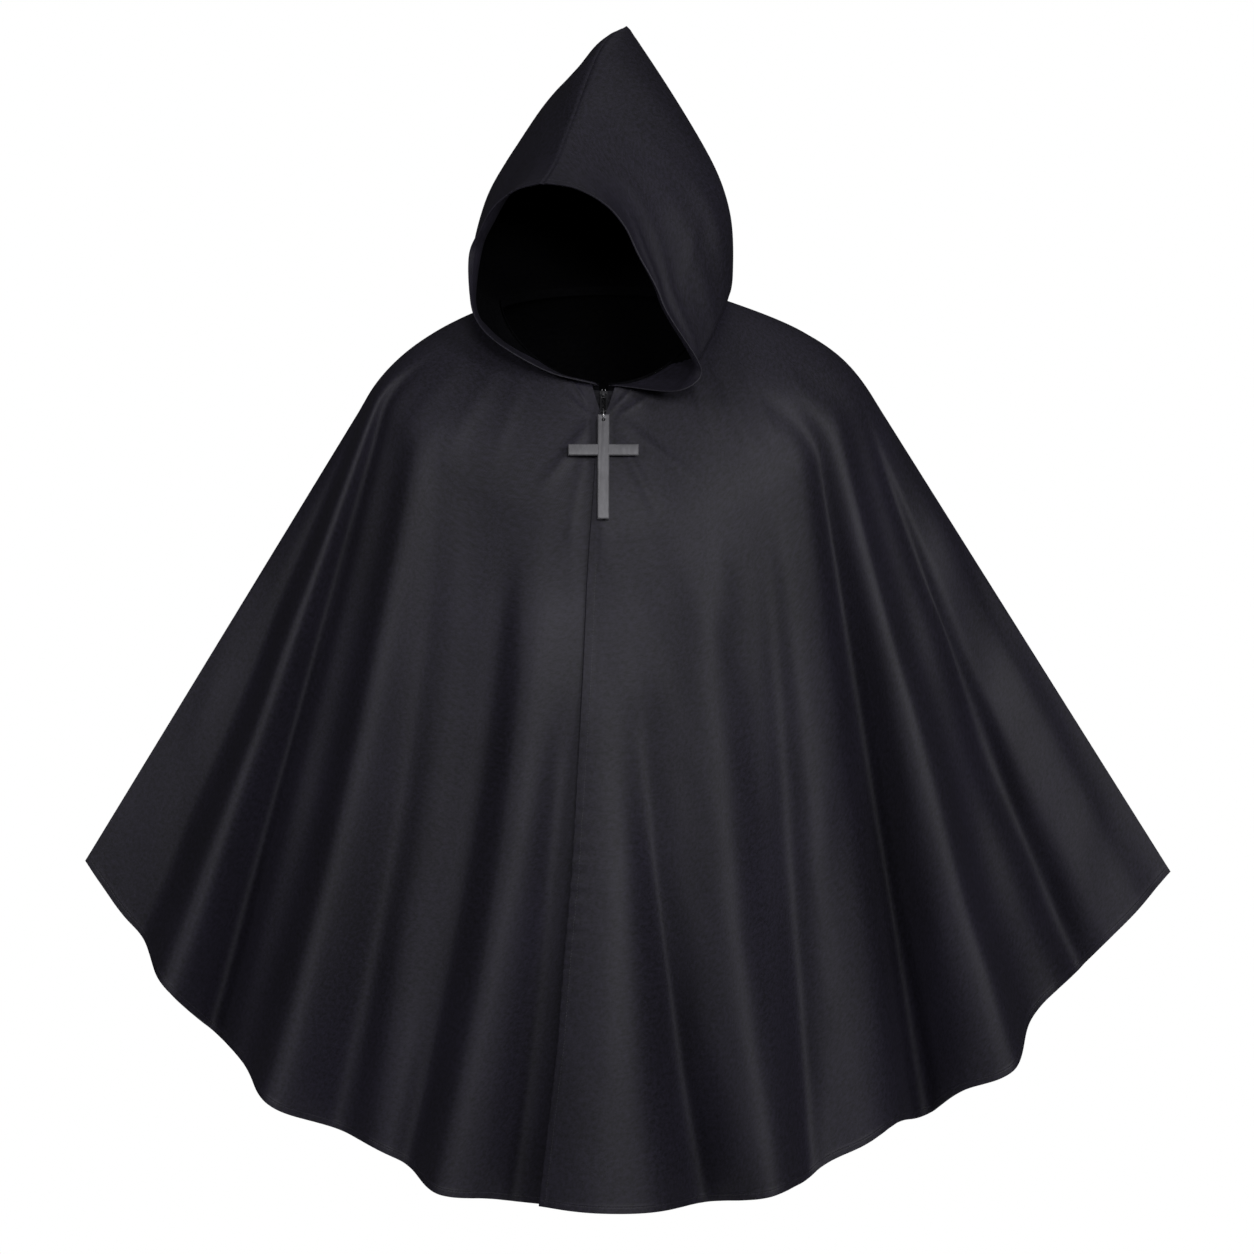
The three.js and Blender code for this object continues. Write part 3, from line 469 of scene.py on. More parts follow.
def pucker(distance, along, seed, height, start, pitch, fade):
    """Small gathers across a seam: a wave along it with an uneven pitch, fading away beyond start."""
    chance = np.random.default_rng(seed)
    uneven = along + pitch * np.sin(along / (pitch * 4.3) + chance.uniform(0, 6))
    strength = 0.6 + 0.4 * np.sin(along / (pitch * 9.1) + chance.uniform(0, 6))
    off = np.maximum(distance - start, 0)
    return height * (strength * np.sin(2 * math.pi * uneven / pitch) * np.exp(-(off / fade) ** 2))


def cloth_walls(surface, normal, raised, fold):
    """The face and the inside of cloth on a surface: the inside follows half of what the face rises, and
    is thicker by the fold where an edge is turned under."""
    deep = np.minimum(raised, raised * 0.5) - CLOTH - fold
    return surface + normal * raised[..., None], surface + normal * deep[..., None]


def cape_grid(columns, rows, low, high, front, lift):
    """Points of one cut piece, its face and its inside, with its flat measures.
    lift(a, t, point, to_hem) is how far the cloth stands off its even surface."""
    shares = even_shares(columns, low(1.0), high(1.0), front)
    inner_shares = shares[(shares > EDGE_SHARE) & (shares < 1 - EDGE_SHARE)]
    shares = np.concatenate([NEAR_EDGE, inner_shares, 1 - NEAR_EDGE[::-1]])
    t = cape_rows(rows)[:, None]
    a = mix(low(t), high(t), shares[None, :])
    t = np.broadcast_to(t, a.shape)
    surface = cape_surface(a, t, front)
    normal = cape_normal(a, t, front)
    step = 0.01
    fall = np.linalg.norm(surface[-1] - cape_surface(a[-1], 1 - step, front), axis=-1) / step
    to_hem = (1 - t) * fall
    raised = lift(a, t, surface, to_hem)
    hem_fold = 2 * FOLDED * (1 - smooth((to_hem - HEM_BAND) / BAND_STEP))
    outer, inner = cloth_walls(surface, normal, raised, hem_fold)
    for grid in (outer, inner):
        grid[..., 1] = np.minimum(grid[..., 1], -SEAM) if front else np.maximum(grid[..., 1], SEAM)
    flat_u = run_length(surface[-1])[None, :] * (0.25 + 0.75 * t)
    return outer, inner, flat_u, run_length(surface)


def side_seam(side):
    """The a of a side seam, which is the same at any t."""
    return lambda t: side + 0 * t


def begun(t, step):
    """An even step from 0 to 1 between a step's low and high t."""
    return smooth((t - step["low"]) / (step["high"] - step["low"]))


def zip_ridge(x, t):
    """How far the zip under the cloth lifts it: a rounded ridge over the zip that fades below its end."""
    height = ZIP_RIDGE["lift"] * np.exp(-((x - ZIP_X) / ZIP_RIDGE["width"]) ** 2)
    return height * (1 - begun(t, ZIP_RIDGE))


# Creases of the chest, in X and Z: x0, z0, x1, z1, width, height
CHEST_CREASES = (
    (-58, -86, -32, -122, 1.6, 3),
    (-66, -100, -38, -124, 2.2, 1.4),
    (12, -86, -18, -118, 1.6, 3.2),
    (28, -98, -10, -124, 2.2, 1.6),
    (-14, -132, 30, -222, 6, 2.4),
    (-8, -128, 66, -186, 7, 2.2),
    (-38, -130, -88, -196, 7, 2.2),
    (-36, -140, -60, -250, 6, 1.8),
    (60, -62, 92, -142, 7, 1.6),
    (95, -70, 132, -156, 8, 2.0),
    (122, -62, 156, -142, 7, 1.5),
    (158, -52, 210, -132, 9, 1.8),
    (76, -190, 110, -330, 14, 1.4),
    (-140, -70, -196, -168, 11, 1.7),
    (-112, -78, -146, -182, 10, 1.5),
    (-176, -60, -246, -150, 11, 1.6),
    (-90, -230, -120, -380, 14, 1.3),
)


# Uneven drape of the cloth: how much Z counts against X, its reach and its height
DRAPE = ((0.35, 120, 2.2), (0.5, 46, 0.5))
LOOSE = dict(below=0.3, seam=0.05)
HEM_GATHERS = dict(height=0.22, start=4, pitch=15, fade=13)


def cloth_play(a, t, point, to_hem, seed):
    """What loose cloth adds to the even surface: uneven drape that grows downwards, the hem's band, and
    gathers along its stitching."""
    x, z = point[..., 0], point[..., 2]
    loose = smooth(t / LOOSE["below"]) * smooth((1 - np.abs(a)) / LOOSE["seam"])
    drape = sum(rumple(x, z * share, seed + k, reach) * height * loose
                for k, (share, reach, height) in enumerate(DRAPE))
    return drape + band(to_hem, HEM_BAND, BAND_RISE) + pucker(to_hem, x, seed, **HEM_GATHERS)


# Right front
# The lower of the two fronts, cut from black twill. It is sewn to the back along the side seam and to
# the hood at the neck, and its free edge lies under the left front, where it carries half of the zip.

def right_edge(t):
    """a of the right front's free edge at t, on straight lines between the table's rows."""
    return np.interp(t, FRONT_EDGES[:, 0], FRONT_EDGES[:, 2])


UNDER_LAP = dict(width=0.09, fade=0.04)


def right_front_lift(a, t, point, to_hem):
    """The zip's ridge with the cloth's own play, which stays flat where the left front lies on it."""
    under = smooth((a - right_edge(t) + UNDER_LAP["width"]) / UNDER_LAP["fade"])
    play = cloth_play(a, t, point, to_hem, seed=3) + crease(point[..., 0], point[..., 2], CHEST_CREASES)
    return zip_ridge(point[..., 0], t) + play * (1 - under) + under * np.minimum(play, 0)


outer, inner, flat_u, flat_v = cape_grid(230, 190, side_seam(-1), right_edge, True, right_front_lift)
right_front = closed_cloth("right_front_cloth", outer, inner, flat_u, flat_v)
right_hem = outer
dress(right_front, "cloth", face_side, wrong_side_painted_shade)
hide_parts("front_right")

# Left front
# The upper front, of the same twill. Its free edge is turned under and stitched 9 mm from the fold,
# laps over the right front and hides the zip. The stitching gathers the edge a little.

def left_edge(t):
    """a of the left front's free edge at t, on straight lines between the table's rows."""
    return np.interp(t, FRONT_EDGES[:, 0], FRONT_EDGES[:, 1])


EDGE_STITCH = 9
EDGE_GATHERS = dict(height=1, start=6, pitch=17, fade=14)
GATHERED = dict(at_zip=0.15, below=1.1, low=0.3, high=0.65)
CALM = dict(near=40, share=0.3)


def to_left_edge(a, t):
    """The distance from the left front's free edge: the step in a times the cloth's length for one a."""
    edge = left_edge(t)
    per_a = np.linalg.norm(cape_surface(edge + 0.01, t, True) - cape_surface(edge, t, True), axis=-1) / 0.01
    return (a - edge) * per_a


def left_front_lift(a, t, point, to_hem):
    """The zip's ridge, the lift over the right front, the turned edge with its gathers, and play, which
    is calmed near the edge."""
    x, z = point[..., 0], point[..., 2]
    off = a - left_edge(t)
    lift = sum(lap["lift"] * begun(t, lap) for lap in (LAP, LOWER_LAP))
    lap = lift * (1 - smooth((off - LAP["full"]) / LAP["fade"]))
    distance = to_left_edge(a, t)
    play = cloth_play(a, t, point, to_hem, seed=8) + crease(x, z, CHEST_CREASES)
    calmed = mix(np.maximum(play, 0) * CALM["share"], play, smooth(distance / CALM["near"]))
    strength = mix(GATHERED["at_zip"], GATHERED["below"], begun(t, GATHERED))
    gathers = pucker(distance, z, 5, **EDGE_GATHERS) * strength
    return zip_ridge(x, t) + lap + calmed + band(distance, EDGE_STITCH + GROOVE["inset"], 0.25) + gathers


outer, inner, flat_u, flat_v = cape_grid(230, 190, left_edge, side_seam(1), True, left_front_lift)
left_front = closed_cloth("left_front_cloth", outer, inner, flat_u, flat_v)
left_hem = outer
dress(left_front, "cloth", face_side, wrong_side_painted_shade)
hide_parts("front_left")

# Back
# One piece of twill from side seam to side seam, joined to the fronts along both sides and to the
# hood at the nape. It hangs from the shoulder blades in eight broad folds.

back_play = lambda *where: cloth_play(*where, seed=21)
outer, inner, flat_u, flat_v = cape_grid(270, 160, side_seam(-1), side_seam(1), False, back_play)
back = closed_cloth("back_cloth", outer, inner, flat_u, flat_v)
back_hem = outer
dress(back, "cloth", face_side, wrong_side_painted_shade)
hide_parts("back")

# Hood
# Two halves of twill, sewn together along a seam from the brow over the peak and down to the nape, and
# sewn into the neck. The rim is turned under and stitched. The hood sits turned to the right, so each
# half has a shape of its own.

HOOD_TURN = math.radians(28)
HOOD_AXIS_X = -30
HOOD_TURN_SHARE = 0.35
# Below the neck ring; off the centre seam's plane; from the rim to the edge of the facing, past which the
# hood's inside is painted darker as shade
HOOD_LIFT = -1.0
HOOD_SEAM = 0.01
FACING = 70
# Low at the sides the cloth doubles back. Up to a v, and fading above it, the direction outwards keeps at
# least a share of the level direction away from an upright line just behind the neck's middle.
AWAY = dict(least=0.35, up_to=0.2, fade=0.1, behind=10)

# How each half swells out: how far, the powers of its rise from the rim, towards the back seam, from the
# neck and towards the top, and how long the neck's width is kept going up
SWELL_RIGHT = dict(fullness=79, rim=1.7, back=0.53, neck=0.97, top=0.64, taper=2.05)
SWELL_LEFT = dict(fullness=56, rim=2.45, back=0.5, neck=0.58, top=0.51, taper=1.8)

# v, distance from the centre seam, distance forwards, height: the two rims are alike above the middle
RIM_TOP = ((0.5, 104, 106, 50), (0.66, 89, 108, 79), (0.8, 68, 115, 103), (0.91, 36, 123, 120),
           (1, 0, 128, 126))
RIM_LEFT = np.array((
    (0, 2, 100, -89),
    (0.1, 91, 134, -96),
    (0.19, 141, 110, -72),
    (0.33, 130, 97, -6),
    *RIM_TOP,
))
RIM_RIGHT = np.array((
    (0, 8, 100, -89),
    (0.1, 47, 112, -76),
    (0.2, 71, 132, -48),
    (0.33, 87, 129, -8),
    *RIM_TOP,
))
# share of the seam, distance forwards, height
BACK_SEAM = np.array((
    (0, -80, 20),
    (0.25, -124, 70),
    (0.5, -136, 140),
    (0.75, -120, 215),
    (0.93, -88, 280),
    (1, -64, 310),
))
TOP_SEAM = np.array((
    (0, 128, 126),
    (0.13, 98, 151),
    (0.28, 76, 180),
    (0.4, 58, 203),
    (0.53, 40, 228),
    (0.67, 19, 256),
    (0.79, 0, 277),
    (0.9, -26, 296),
    (1, -64, 310),
))


def curved(table, x, column):
    """A smooth curve through a table's rows: cubic pieces whose slope at a row is that between its
    neighbours."""
    at, value = table[:, 0], table[:, column]
    last = len(at) - 1
    before = np.maximum(np.arange(last + 1) - 1, 0)
    after = np.minimum(np.arange(last + 1) + 1, last)
    slope = (value[after] - value[before]) / (at[after] - at[before])
    i = np.clip(np.searchsorted(at, x, side="left") - 1, 0, last - 1)
    span = at[i + 1] - at[i]
    s = (x - at[i]) / span
    eased = mix(value[i], value[i + 1], s * s * (3 - 2 * s))
    return eased + s * (1 - s) ** 2 * span * slope[i] - s * s * (1 - s) * span * slope[i + 1]


def swelling(x, p, q):
    """x^p * (1 - x)^q, divided by its highest value."""
    return x ** p * (1 - x) ** q / ((p / (p + q)) ** p * (q / (p + q)) ** q)


def neck_circle(sine, cosine):
    """Points all round the neck ring: of its front where the cosine is above 0, else of its back."""
    front, back = (neck_ring(sine, np.abs(cosine), half) for half in (True, False))
    return np.where((cosine > 0)[..., None], front, back)


def hood_half(u, v, rim, side, swell):
    """Half of the hood in the head's directions (out, forwards, up). u runs from rim to back, v from
    neck to top: a surface blended from its four edges, and filled out by the product of two swellings."""
    first = math.asin(rim[0, 1] / NECK["half"])
    angle = mix(first, math.pi, u)
    sine, cosine = side * np.sin(angle), np.cos(angle)
    ring = neck_circle(sine, cosine)
    neck_edge = (side * (ring[..., 0] - NECK["x"]), -ring[..., 1], ring[..., 2] + HOOD_LIFT)
    start = neck_ring(np.array(side * math.sin(first)), np.array(math.cos(first)), True)
    corner = (0, -start[1], start[2] + HOOD_LIFT)
    nape = (0, -NECK["back"], NECK["back_z"] + HOOD_LIFT)
    blended = []
    for k in (1, 2):
        front = np.where(v == 0, corner[k], curved(rim, v, k + 1))
        rear = np.where(v == 0, nape[k], curved(BACK_SEAM, v, k))
        edges = (1 - v) * neck_edge[k] + v * curved(TOP_SEAM, u, k) + (1 - u) * front + u * rear
        low = mix(corner[k], nape[k], u)
        high = mix(TOP_SEAM[0, k], TOP_SEAM[-1, k], u)
        blended.append(edges - mix(low, high, v))
    belly = swelling(u, swell["rim"], swell["back"]) * swelling(v, swell["neck"], swell["top"])
    kept = 1 - v ** swell["taper"]
    rim_part = (1 - u) ** 4 * (curved(rim, v, 1) - rim[0, 1] * kept)
    out = kept * neck_edge[0] + rim_part + swell["fullness"] * belly
    return np.stack([out, *blended], -1)


def hood_place(local, v, side):
    """The head's directions turned into the cape's, more and more from the neck up."""
    turn = smooth(v / HOOD_TURN_SHARE)
    angle = HOOD_TURN * turn
    x = mix(NECK["x"], HOOD_AXIS_X, turn)
    out = np.maximum(local[..., 0], HOOD_SEAM) * side
    return np.stack([
        x + out * np.cos(angle) - local[..., 1] * np.sin(angle),
        -out * np.sin(angle) - local[..., 1] * np.cos(angle),
        local[..., 2],
    ], -1)


RIM_BAND = 8
SEAM_GATHERS = dict(height=0.16, start=2, pitch=14, fade=9)
RIM_GATHERS = dict(height=0.14, start=4, pitch=15, fade=10)
# Where the cloth is free to play, and the depth and width of the pinch at the centre seam and the neck
FREE = dict(seam=25, rim=25, neck=20)
PINCH = ((1.5, 2.4), (0.8, 3))
RIM_SPREAD = np.array((0, 0.001, 0.003, 0.007, 0.014, 0.02, 0.024, 0.028, 0.032, 0.037, 0.044, 0.054))

# Creases of a hood half in its own u and v: u0, v0, u1, v1, width, height
HOOD_CREASES_LEFT = (
    (0.2, 0.25, 0.26, 0.8, 0.035, 1.6),
    (0.34, 0.12, 0.38, 0.72, 0.045, 1.9),
    (0.5, 0.08, 0.5, 0.6, 0.05, 1.5),
    (0.09, 0.16, 0.14, 0.66, 0.022, 1.7),
    (0.17, 0.1, 0.2, 0.42, 0.03, 1.6),
    (0.28, 0.3, 0.42, 0.42, 0.03, 1.2),
)
HOOD_CREASES_RIGHT = (
    (0.24, 0.2, 0.3, 0.75, 0.045, 1.5),
    (0.45, 0.1, 0.46, 0.65, 0.05, 1.6),
)


def hood_grid(rim, side, swell, creases, seed):
    """Points of one hood half, its face and its inside, with its flat measures."""
    even = np.linspace(0, 1, 150)
    u = np.concatenate([RIM_SPREAD, even[even > 0.06]])[None, :]
    v = np.sin(np.linspace(0, math.pi / 2, 165))[:, None]
    u, v = np.broadcast_arrays(u, v)
    half = (rim, side, swell)
    step = 0.004
    near_u, near_v = np.minimum(u, 0.985), np.minimum(v, 0.985)
    along = hood_half(near_u + step, near_v, *half) - hood_half(np.maximum(near_u - step, 0), near_v, *half)
    up = hood_half(near_u, near_v + step, *half) - hood_half(near_u, np.maximum(near_v - step, 0), *half)
    surface = hood_half(u, v, *half)
    normal = unit(np.cross(up, along))
    away = unit(surface * (1, 1, 0) + (0, AWAY["behind"], 0))
    slack = np.maximum(AWAY["least"] - (normal * away).sum(-1), 0)
    slack = slack * (1 - smooth((v - AWAY["up_to"]) / AWAY["fade"]))
    normal = unit(normal + slack[..., None] * away)
    to_rim, up_length = run_length(surface, 1), run_length(surface)
    to_seam = up_length[-1] - up_length
    to_back = to_rim[:, -1:] - to_rim
    seam = np.minimum(to_seam, to_back)
    along_seam = np.where(to_seam < to_back, to_rim, up_length)
    free = smooth(seam / FREE["seam"]) * smooth(to_rim / FREE["rim"]) * smooth(up_length / FREE["neck"])
    play = crease(u, v, creases) + rumple(to_rim, up_length * 0.5, seed, 70) * 0.8
    pinch = -sum(deep * np.exp(-(off / width) ** 2) for off, (deep, width) in zip((seam, up_length), PINCH))
    raised = play * free + pinch + pucker(seam, along_seam, seed, **SEAM_GATHERS)
    raised = raised + pucker(to_rim, up_length, seed + 2, **RIM_GATHERS) + band(to_rim, RIM_BAND, BAND_RISE)
    fold = sum(FOLDED * (1 - smooth((to_rim - edge) / BAND_STEP)) for edge in (RIM_BAND, FACING))
    outer, inner = cloth_walls(surface, normal, raised, fold)
    return hood_place(outer, v, side), hood_place(inner, v, side), to_rim, up_length


hood_rims = []
for word, rim, side, swell, creases, seed, flat in (
    ("right", RIM_RIGHT, -1, SWELL_RIGHT, HOOD_CREASES_RIGHT, 31, (0.4, 0.37)),
    ("left", RIM_LEFT, 1, SWELL_LEFT, HOOD_CREASES_LEFT, 34, (0.37, 0.43)),
):
    outer, inner, flat_u, flat_v = hood_grid(rim, side, swell, creases, seed)
    half = closed_cloth(f"hood_{word}_cloth", outer, inner, flat_u, flat_v, FACING)
    dress(half, "cloth", face_side, wrong_side_painted_shade)
    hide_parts(f"hood_{word}")
    hood_rims.append(outer)

# Neck tape
# A narrow binding of black twill, sewn over the raw edges inside the neck where hood and cape meet. It
# runs from one end of the hood's rim round the nape to the other.

TAPE_INSET = 1.7
TAPE_WALL = 0.6
TAPE_UP = 3
TAPE_DOWN = 7

ends = [math.asin(rim[0, 1] / NECK["half"]) for rim in (RIM_RIGHT, RIM_LEFT)]
round_neck = np.linspace(ends[0], 2 * math.pi - ends[1], 220)[None, :]
tape_height = np.linspace(-TAPE_DOWN, TAPE_UP, 8)[:, None]
ring = neck_circle(-np.sin(round_neck), np.cos(round_neck))
inwards = unit((ring - np.array([NECK["x"], 0, 0])) * np.array([-1, -1, 0]))
tape_line = ring + tape_height[..., None] * np.array([0, 0, 1])
outer = tape_line + inwards * (TAPE_INSET + TAPE_WALL)
inner = tape_line + inwards * TAPE_INSET
flat_u, flat_v = np.broadcast_arrays(run_length(ring[0])[None, :], tape_height)
neck_tape = closed_cloth("neck_tape", outer, inner, flat_u, flat_v)
# The tape has the inside's darker material on both sides: painted shade.
dress(neck_tape, "cloth", wrong_side_painted_shade, wrong_side_painted_shade)

# Stitching
# Black polyester thread, sewn by machine along the hem, the free front edge and the hood's rim. Each
# stitch stands a little proud of its groove.

STITCH = dict(pitch=3.0, length=2.3, width=0.3, height=0.2, sink=0.06)


def spindles(name, centre, tangent, out, shape):
    """Small spindles in one mesh: rings of five points along each one's tangent, with a radius of
    sqrt(sin(share * pi)) times the shape's width sideways and its height outwards."""
    shares = np.array((0.06, 0.3, 0.7, 0.94))
    turns = np.arange(5) * 2 * math.pi / 5
    centre, tangent, out = (x[:, None, None, :] for x in (centre, tangent, out))
    reach = ((shares - 0.5) * shape["length"])[:, None, None]
    radius = np.sqrt(np.sin(shares * math.pi))[:, None, None]
    grid = centre + tangent * reach
    grid = grid + unit(np.cross(tangent, out)) * radius * shape["width"] * np.cos(turns)[:, None]
    grid = grid + out * radius * shape["height"] * np.sin(turns)[:, None]
    index = np.arange(grid.size // 3).reshape(grid.shape[:3])
    ahead = np.roll(index, -1, axis=2)
    quads = np.stack([index[:, :-1], ahead[:, :-1], ahead[:, 1:], index[:, 1:]], -1).reshape(-1, 4)
    faces = quads.tolist() + index[:, 0, ::-1].tolist() + index[:, -1].tolist()
    return placed(name, soft_mesh(name, grid, faces))


def at_lengths(places, lengths, values):
    """Points or directions of a line at places along it."""
    return np.stack([np.interp(places, lengths, values[:, k]) for k in range(3)], -1)


def stitches(name, lines):
    """Machine stitches end to end along lines of (points, directions outwards)."""
    centres, tangents, outs = [], [], []
    for line, outwards in lines:
        lengths = run_length(line)
        places = np.arange(STITCH["pitch"], lengths[-1] - STITCH["pitch"], STITCH["pitch"])
        centre = at_lengths(places, lengths, line)
        ahead = at_lengths(places + 0.5, lengths, line)
        out = unit(at_lengths(places, lengths, outwards))
        centres.append(centre - STITCH["sink"] * out)
        tangents.append(unit(ahead - centre))
        outs.append(out)
    centre, tangent, out = (np.concatenate(x) for x in (centres, tangents, outs))
    return spindles(name, centre, tangent, out, STITCH)


def line_at(grid, axis, distance, flip):
    """The line on a grid that runs at a distance from its last row (axis 0) or first column (axis 1),
    with the directions across the grid there."""
    normals = unit(np.cross(np.gradient(grid, axis=0), np.gradient(grid, axis=1)))
    rows, outwards = (x[::-1] if axis == 0 else np.swapaxes(x, 0, 1) for x in (grid, normals))
    lengths = run_length(rows)
    after = np.argmax(lengths > distance, axis=0)
    column = np.arange(rows.shape[1])
    share = (distance - lengths[after - 1, column]) / (lengths[after, column] - lengths[after - 1, column])
    place = mix(rows[after - 1, column], rows[after, column], share[:, None])
    return place, outwards[after, column] * flip


THREAD_TONES = ((0.012, 0.012, 0.014, 1), (0.05, 0.048, 0.056, 1))
thread = grained("black_thread", 2600.0, 2.0, THREAD_TONES, 0.42, 0.6, (0.4, 0.0001))
to_stitch = HEM_BAND - GROOVE["inset"]
hems = ((right_hem, 1), (left_hem, 1), (back_hem, -1))
hem_lines = [line_at(grid, 0, to_stitch, flip) for grid, flip in hems]
hem_thread = stitches("hem_stitches", hem_lines)
dress(hem_thread, "cloth", thread)
edge_line, edge_out = line_at(left_hem, 1, EDGE_STITCH, 1)
# The stitching starts a little below the zip's end
lower = len(edge_line) * 7 // 20
edge_thread = stitches("front_edge_stitches", [(edge_line[lower:], edge_out[lower:])])
dress(edge_thread, "cloth", thread)
to_stitch = RIM_BAND - GROOVE["inset"]
rim_lines = [line_at(hood_rims[0], 1, to_stitch, 1), line_at(hood_rims[1], 1, to_stitch, -1)]
rim_thread = stitches("hood_rim_stitches", rim_lines)
dress(rim_thread, "cloth", thread)

# Zip
# A short black coil zip behind the left front's edge: two woven tapes sewn under the fronts, with the
# coil's turns closed between them and a metal stop at the top of each tape.

ZIP = dict(start=0.004, chain_start=0.014, end=0.175, depth=2.5, chain_depth=1.4)
ZIP_TAPE = dict(width=11, gap=2.6, wall=0.6)
COIL = dict(pitch=1.5, ends=0.8, length=3.9, shift=0.5, width=0.42, height=0.65)
STOP = dict(aside=1.7, up=5.6, out=-0.2, length=2.6, width=0.75, height=0.9)


def across_at(x, t):
    """The a of the front's surface that lies over a given x, found in twelve steps towards it."""
    a = np.zeros(np.broadcast(x, t).shape)
    for _ in range(12):
        a = a + (x - cape_surface(a, t, True)[..., 0]) / 300
    return a


tape_rows = np.linspace(ZIP["start"], ZIP["end"], 80)[:, None]
woven_tape = twill_cloth("woven_tape", (0.003, 0.0028, 0.0045, 1), (0.011, 0.0102, 0.0155, 1), 0.75, 0.3)
for word, first in (("right", -ZIP_TAPE["width"] - ZIP_TAPE["gap"] / 2), ("left", ZIP_TAPE["gap"] / 2)):
    x = ZIP_X + np.linspace(first, first + ZIP_TAPE["width"], 9)[None, :]
    a = across_at(x, tape_rows)
    face = cape_surface(a, tape_rows, True)
    normal = cape_normal(a, tape_rows, True)
    outer = face - normal * ZIP["depth"]
    inner = face - normal * (ZIP["depth"] + ZIP_TAPE["wall"])
    flat_v = run_length(face)
    tape = closed_cloth(f"zip_tape_{word}_cloth", outer, inner, np.broadcast_to(x, flat_v.shape), flat_v)
    dress(tape, "tape", woven_tape, woven_tape)
    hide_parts(f"zip_tape_{word}")

coil_line = np.linspace(ZIP["chain_start"], ZIP["end"], 400)
coil_a = across_at(ZIP_X, coil_line)
coil_face = cape_surface(coil_a, coil_line, True)
coil_out = cape_normal(coil_a, coil_line, True)
lengths = run_length(coil_face)
places = np.arange(COIL["ends"], lengths[-1] - COIL["ends"], COIL["pitch"])
turn_place = at_lengths(places, lengths, coil_face - coil_out * ZIP["chain_depth"])
turn_out = unit(at_lengths(places, lengths, coil_out))
turn_place[:, 0] = ZIP_X + COIL["shift"] * np.where(np.arange(len(places)) % 2, 1, -1)
SIDEWAYS = np.array([1.0, 0, 0])
across = np.broadcast_to(SIDEWAYS, turn_place.shape)
coil = spindles("zip_coil", turn_place, across, turn_out, COIL)
nylon = grained("black_nylon", 900.0, 2.0, ((0.008, 0.008, 0.009, 1), (0.022, 0.022, 0.024, 1)), 0.35)
dress(coil, "teeth", nylon)
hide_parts("zip_chain")

# Slider and pull
# A small slider of dark enamelled metal at the top of the zip. Its pull is a loop of bent wire that
# hangs through the bridge on the slider's face.

SLIDER_PLACE = np.array([-25, -103.127, -99.465])
SLIDER_OUT = np.array([0, -0.94704, 0.32111])
SLIDER_UP = np.array([0, 0.32111, 0.94704])
HINGE = np.array([-25, -105.352, -98.711])
LOWER_BAR = np.array([-25, -121.451, -117.077])
PULL = dict(wire=0.8, width=6.1, corner=1.2)

# Metal: a fine cast grain, longer rubbed streaks and soft stains, from three noises on Object coordinates
cast_grain, took = group_of(
    "cast_grain",
    [("Place", "Vector", None), ("Grain", "Float", 1400.0), ("Streaks", "Float", 260.0)],
    [("Height", "Float"), ("Rubbed", "Float"), ("Stains", "Float")],
)
place = took.outputs["Place"]
stretched = node(cast_grain, "ShaderNodeVectorMath", {0: place, 1: (1.0, 1.0, 0.16)}, operation="MULTIPLY")
streaks = noise(cast_grain, stretched.outputs[0], took.outputs["Streaks"], 5.0, 0.7)
node(cast_grain, "NodeGroupOutput", {
    "Height": noise(cast_grain, place, took.outputs["Grain"], 3.0, 0.6),
    "Rubbed": ranged(cast_grain, streaks, from_min=0.45, from_max=0.75),
    "Stains": noise(cast_grain, place, 55.0, 3.0),
})


def metal(name, dark, light, metallic, roughness, depth):
    """Metal whose tone runs from dark to light with its rubbed streaks and stains."""
    material, tree = blank_material(name)
    spot = node(tree, "ShaderNodeTexCoord").outputs["Object"]
    marks = node(tree, "ShaderNodeGroup", {"Place": spot}, node_tree=cast_grain)
    stains = marks.outputs["Stains"]
    share = maths(tree, "MULTIPLY_ADD", marks.outputs["Rubbed"], 0.45, stains)
    shade(tree, {
        "Base Color": blend(tree, share, dark, light),
        "Metallic": metallic,
        "Roughness": ranged(tree, stains, to_min=roughness - 0.12, to_max=roughness + 0.12),
        "Normal": bumped(tree, marks.outputs["Height"], 0.3, depth),
    })
    return material


WIRE_SIDES = 16


def wire_loop(name, path, wire, plane):
    """A closed loop of round wire: a circle of points carried along the path, with plane as the
    direction across the loop's own plane."""
    ahead = unit(np.roll(path, -1, axis=0) - np.roll(path, 1, axis=0))
    aside = unit(np.cross(ahead, plane))
    turns = np.linspace(0, 2 * math.pi, WIRE_SIDES, endpoint=False)[None, :, None]
    ring = path[:, None] + wire * (aside[:, None] * np.cos(turns) + plane * np.sin(turns))
    index = np.arange(len(path) * WIRE_SIDES).reshape(-1, WIRE_SIDES)
    ahead_index, aside_index = np.roll(index, -1, axis=0), np.roll(index, -1, axis=1)
    corner = np.roll(ahead_index, -1, axis=1)
    faces = np.stack([index, ahead_index, corner, aside_index], -1).reshape(-1, 4)
    mesh = soft_mesh(name, ring, faces.tolist())
    p = ring.reshape(-1, 3)[faces]
    if np.einsum("ij,ij->", p[:, 0], np.cross(p[:, 1], p[:, 2])) < 0:
        mesh.flip_normals()
    return placed(name, mesh)


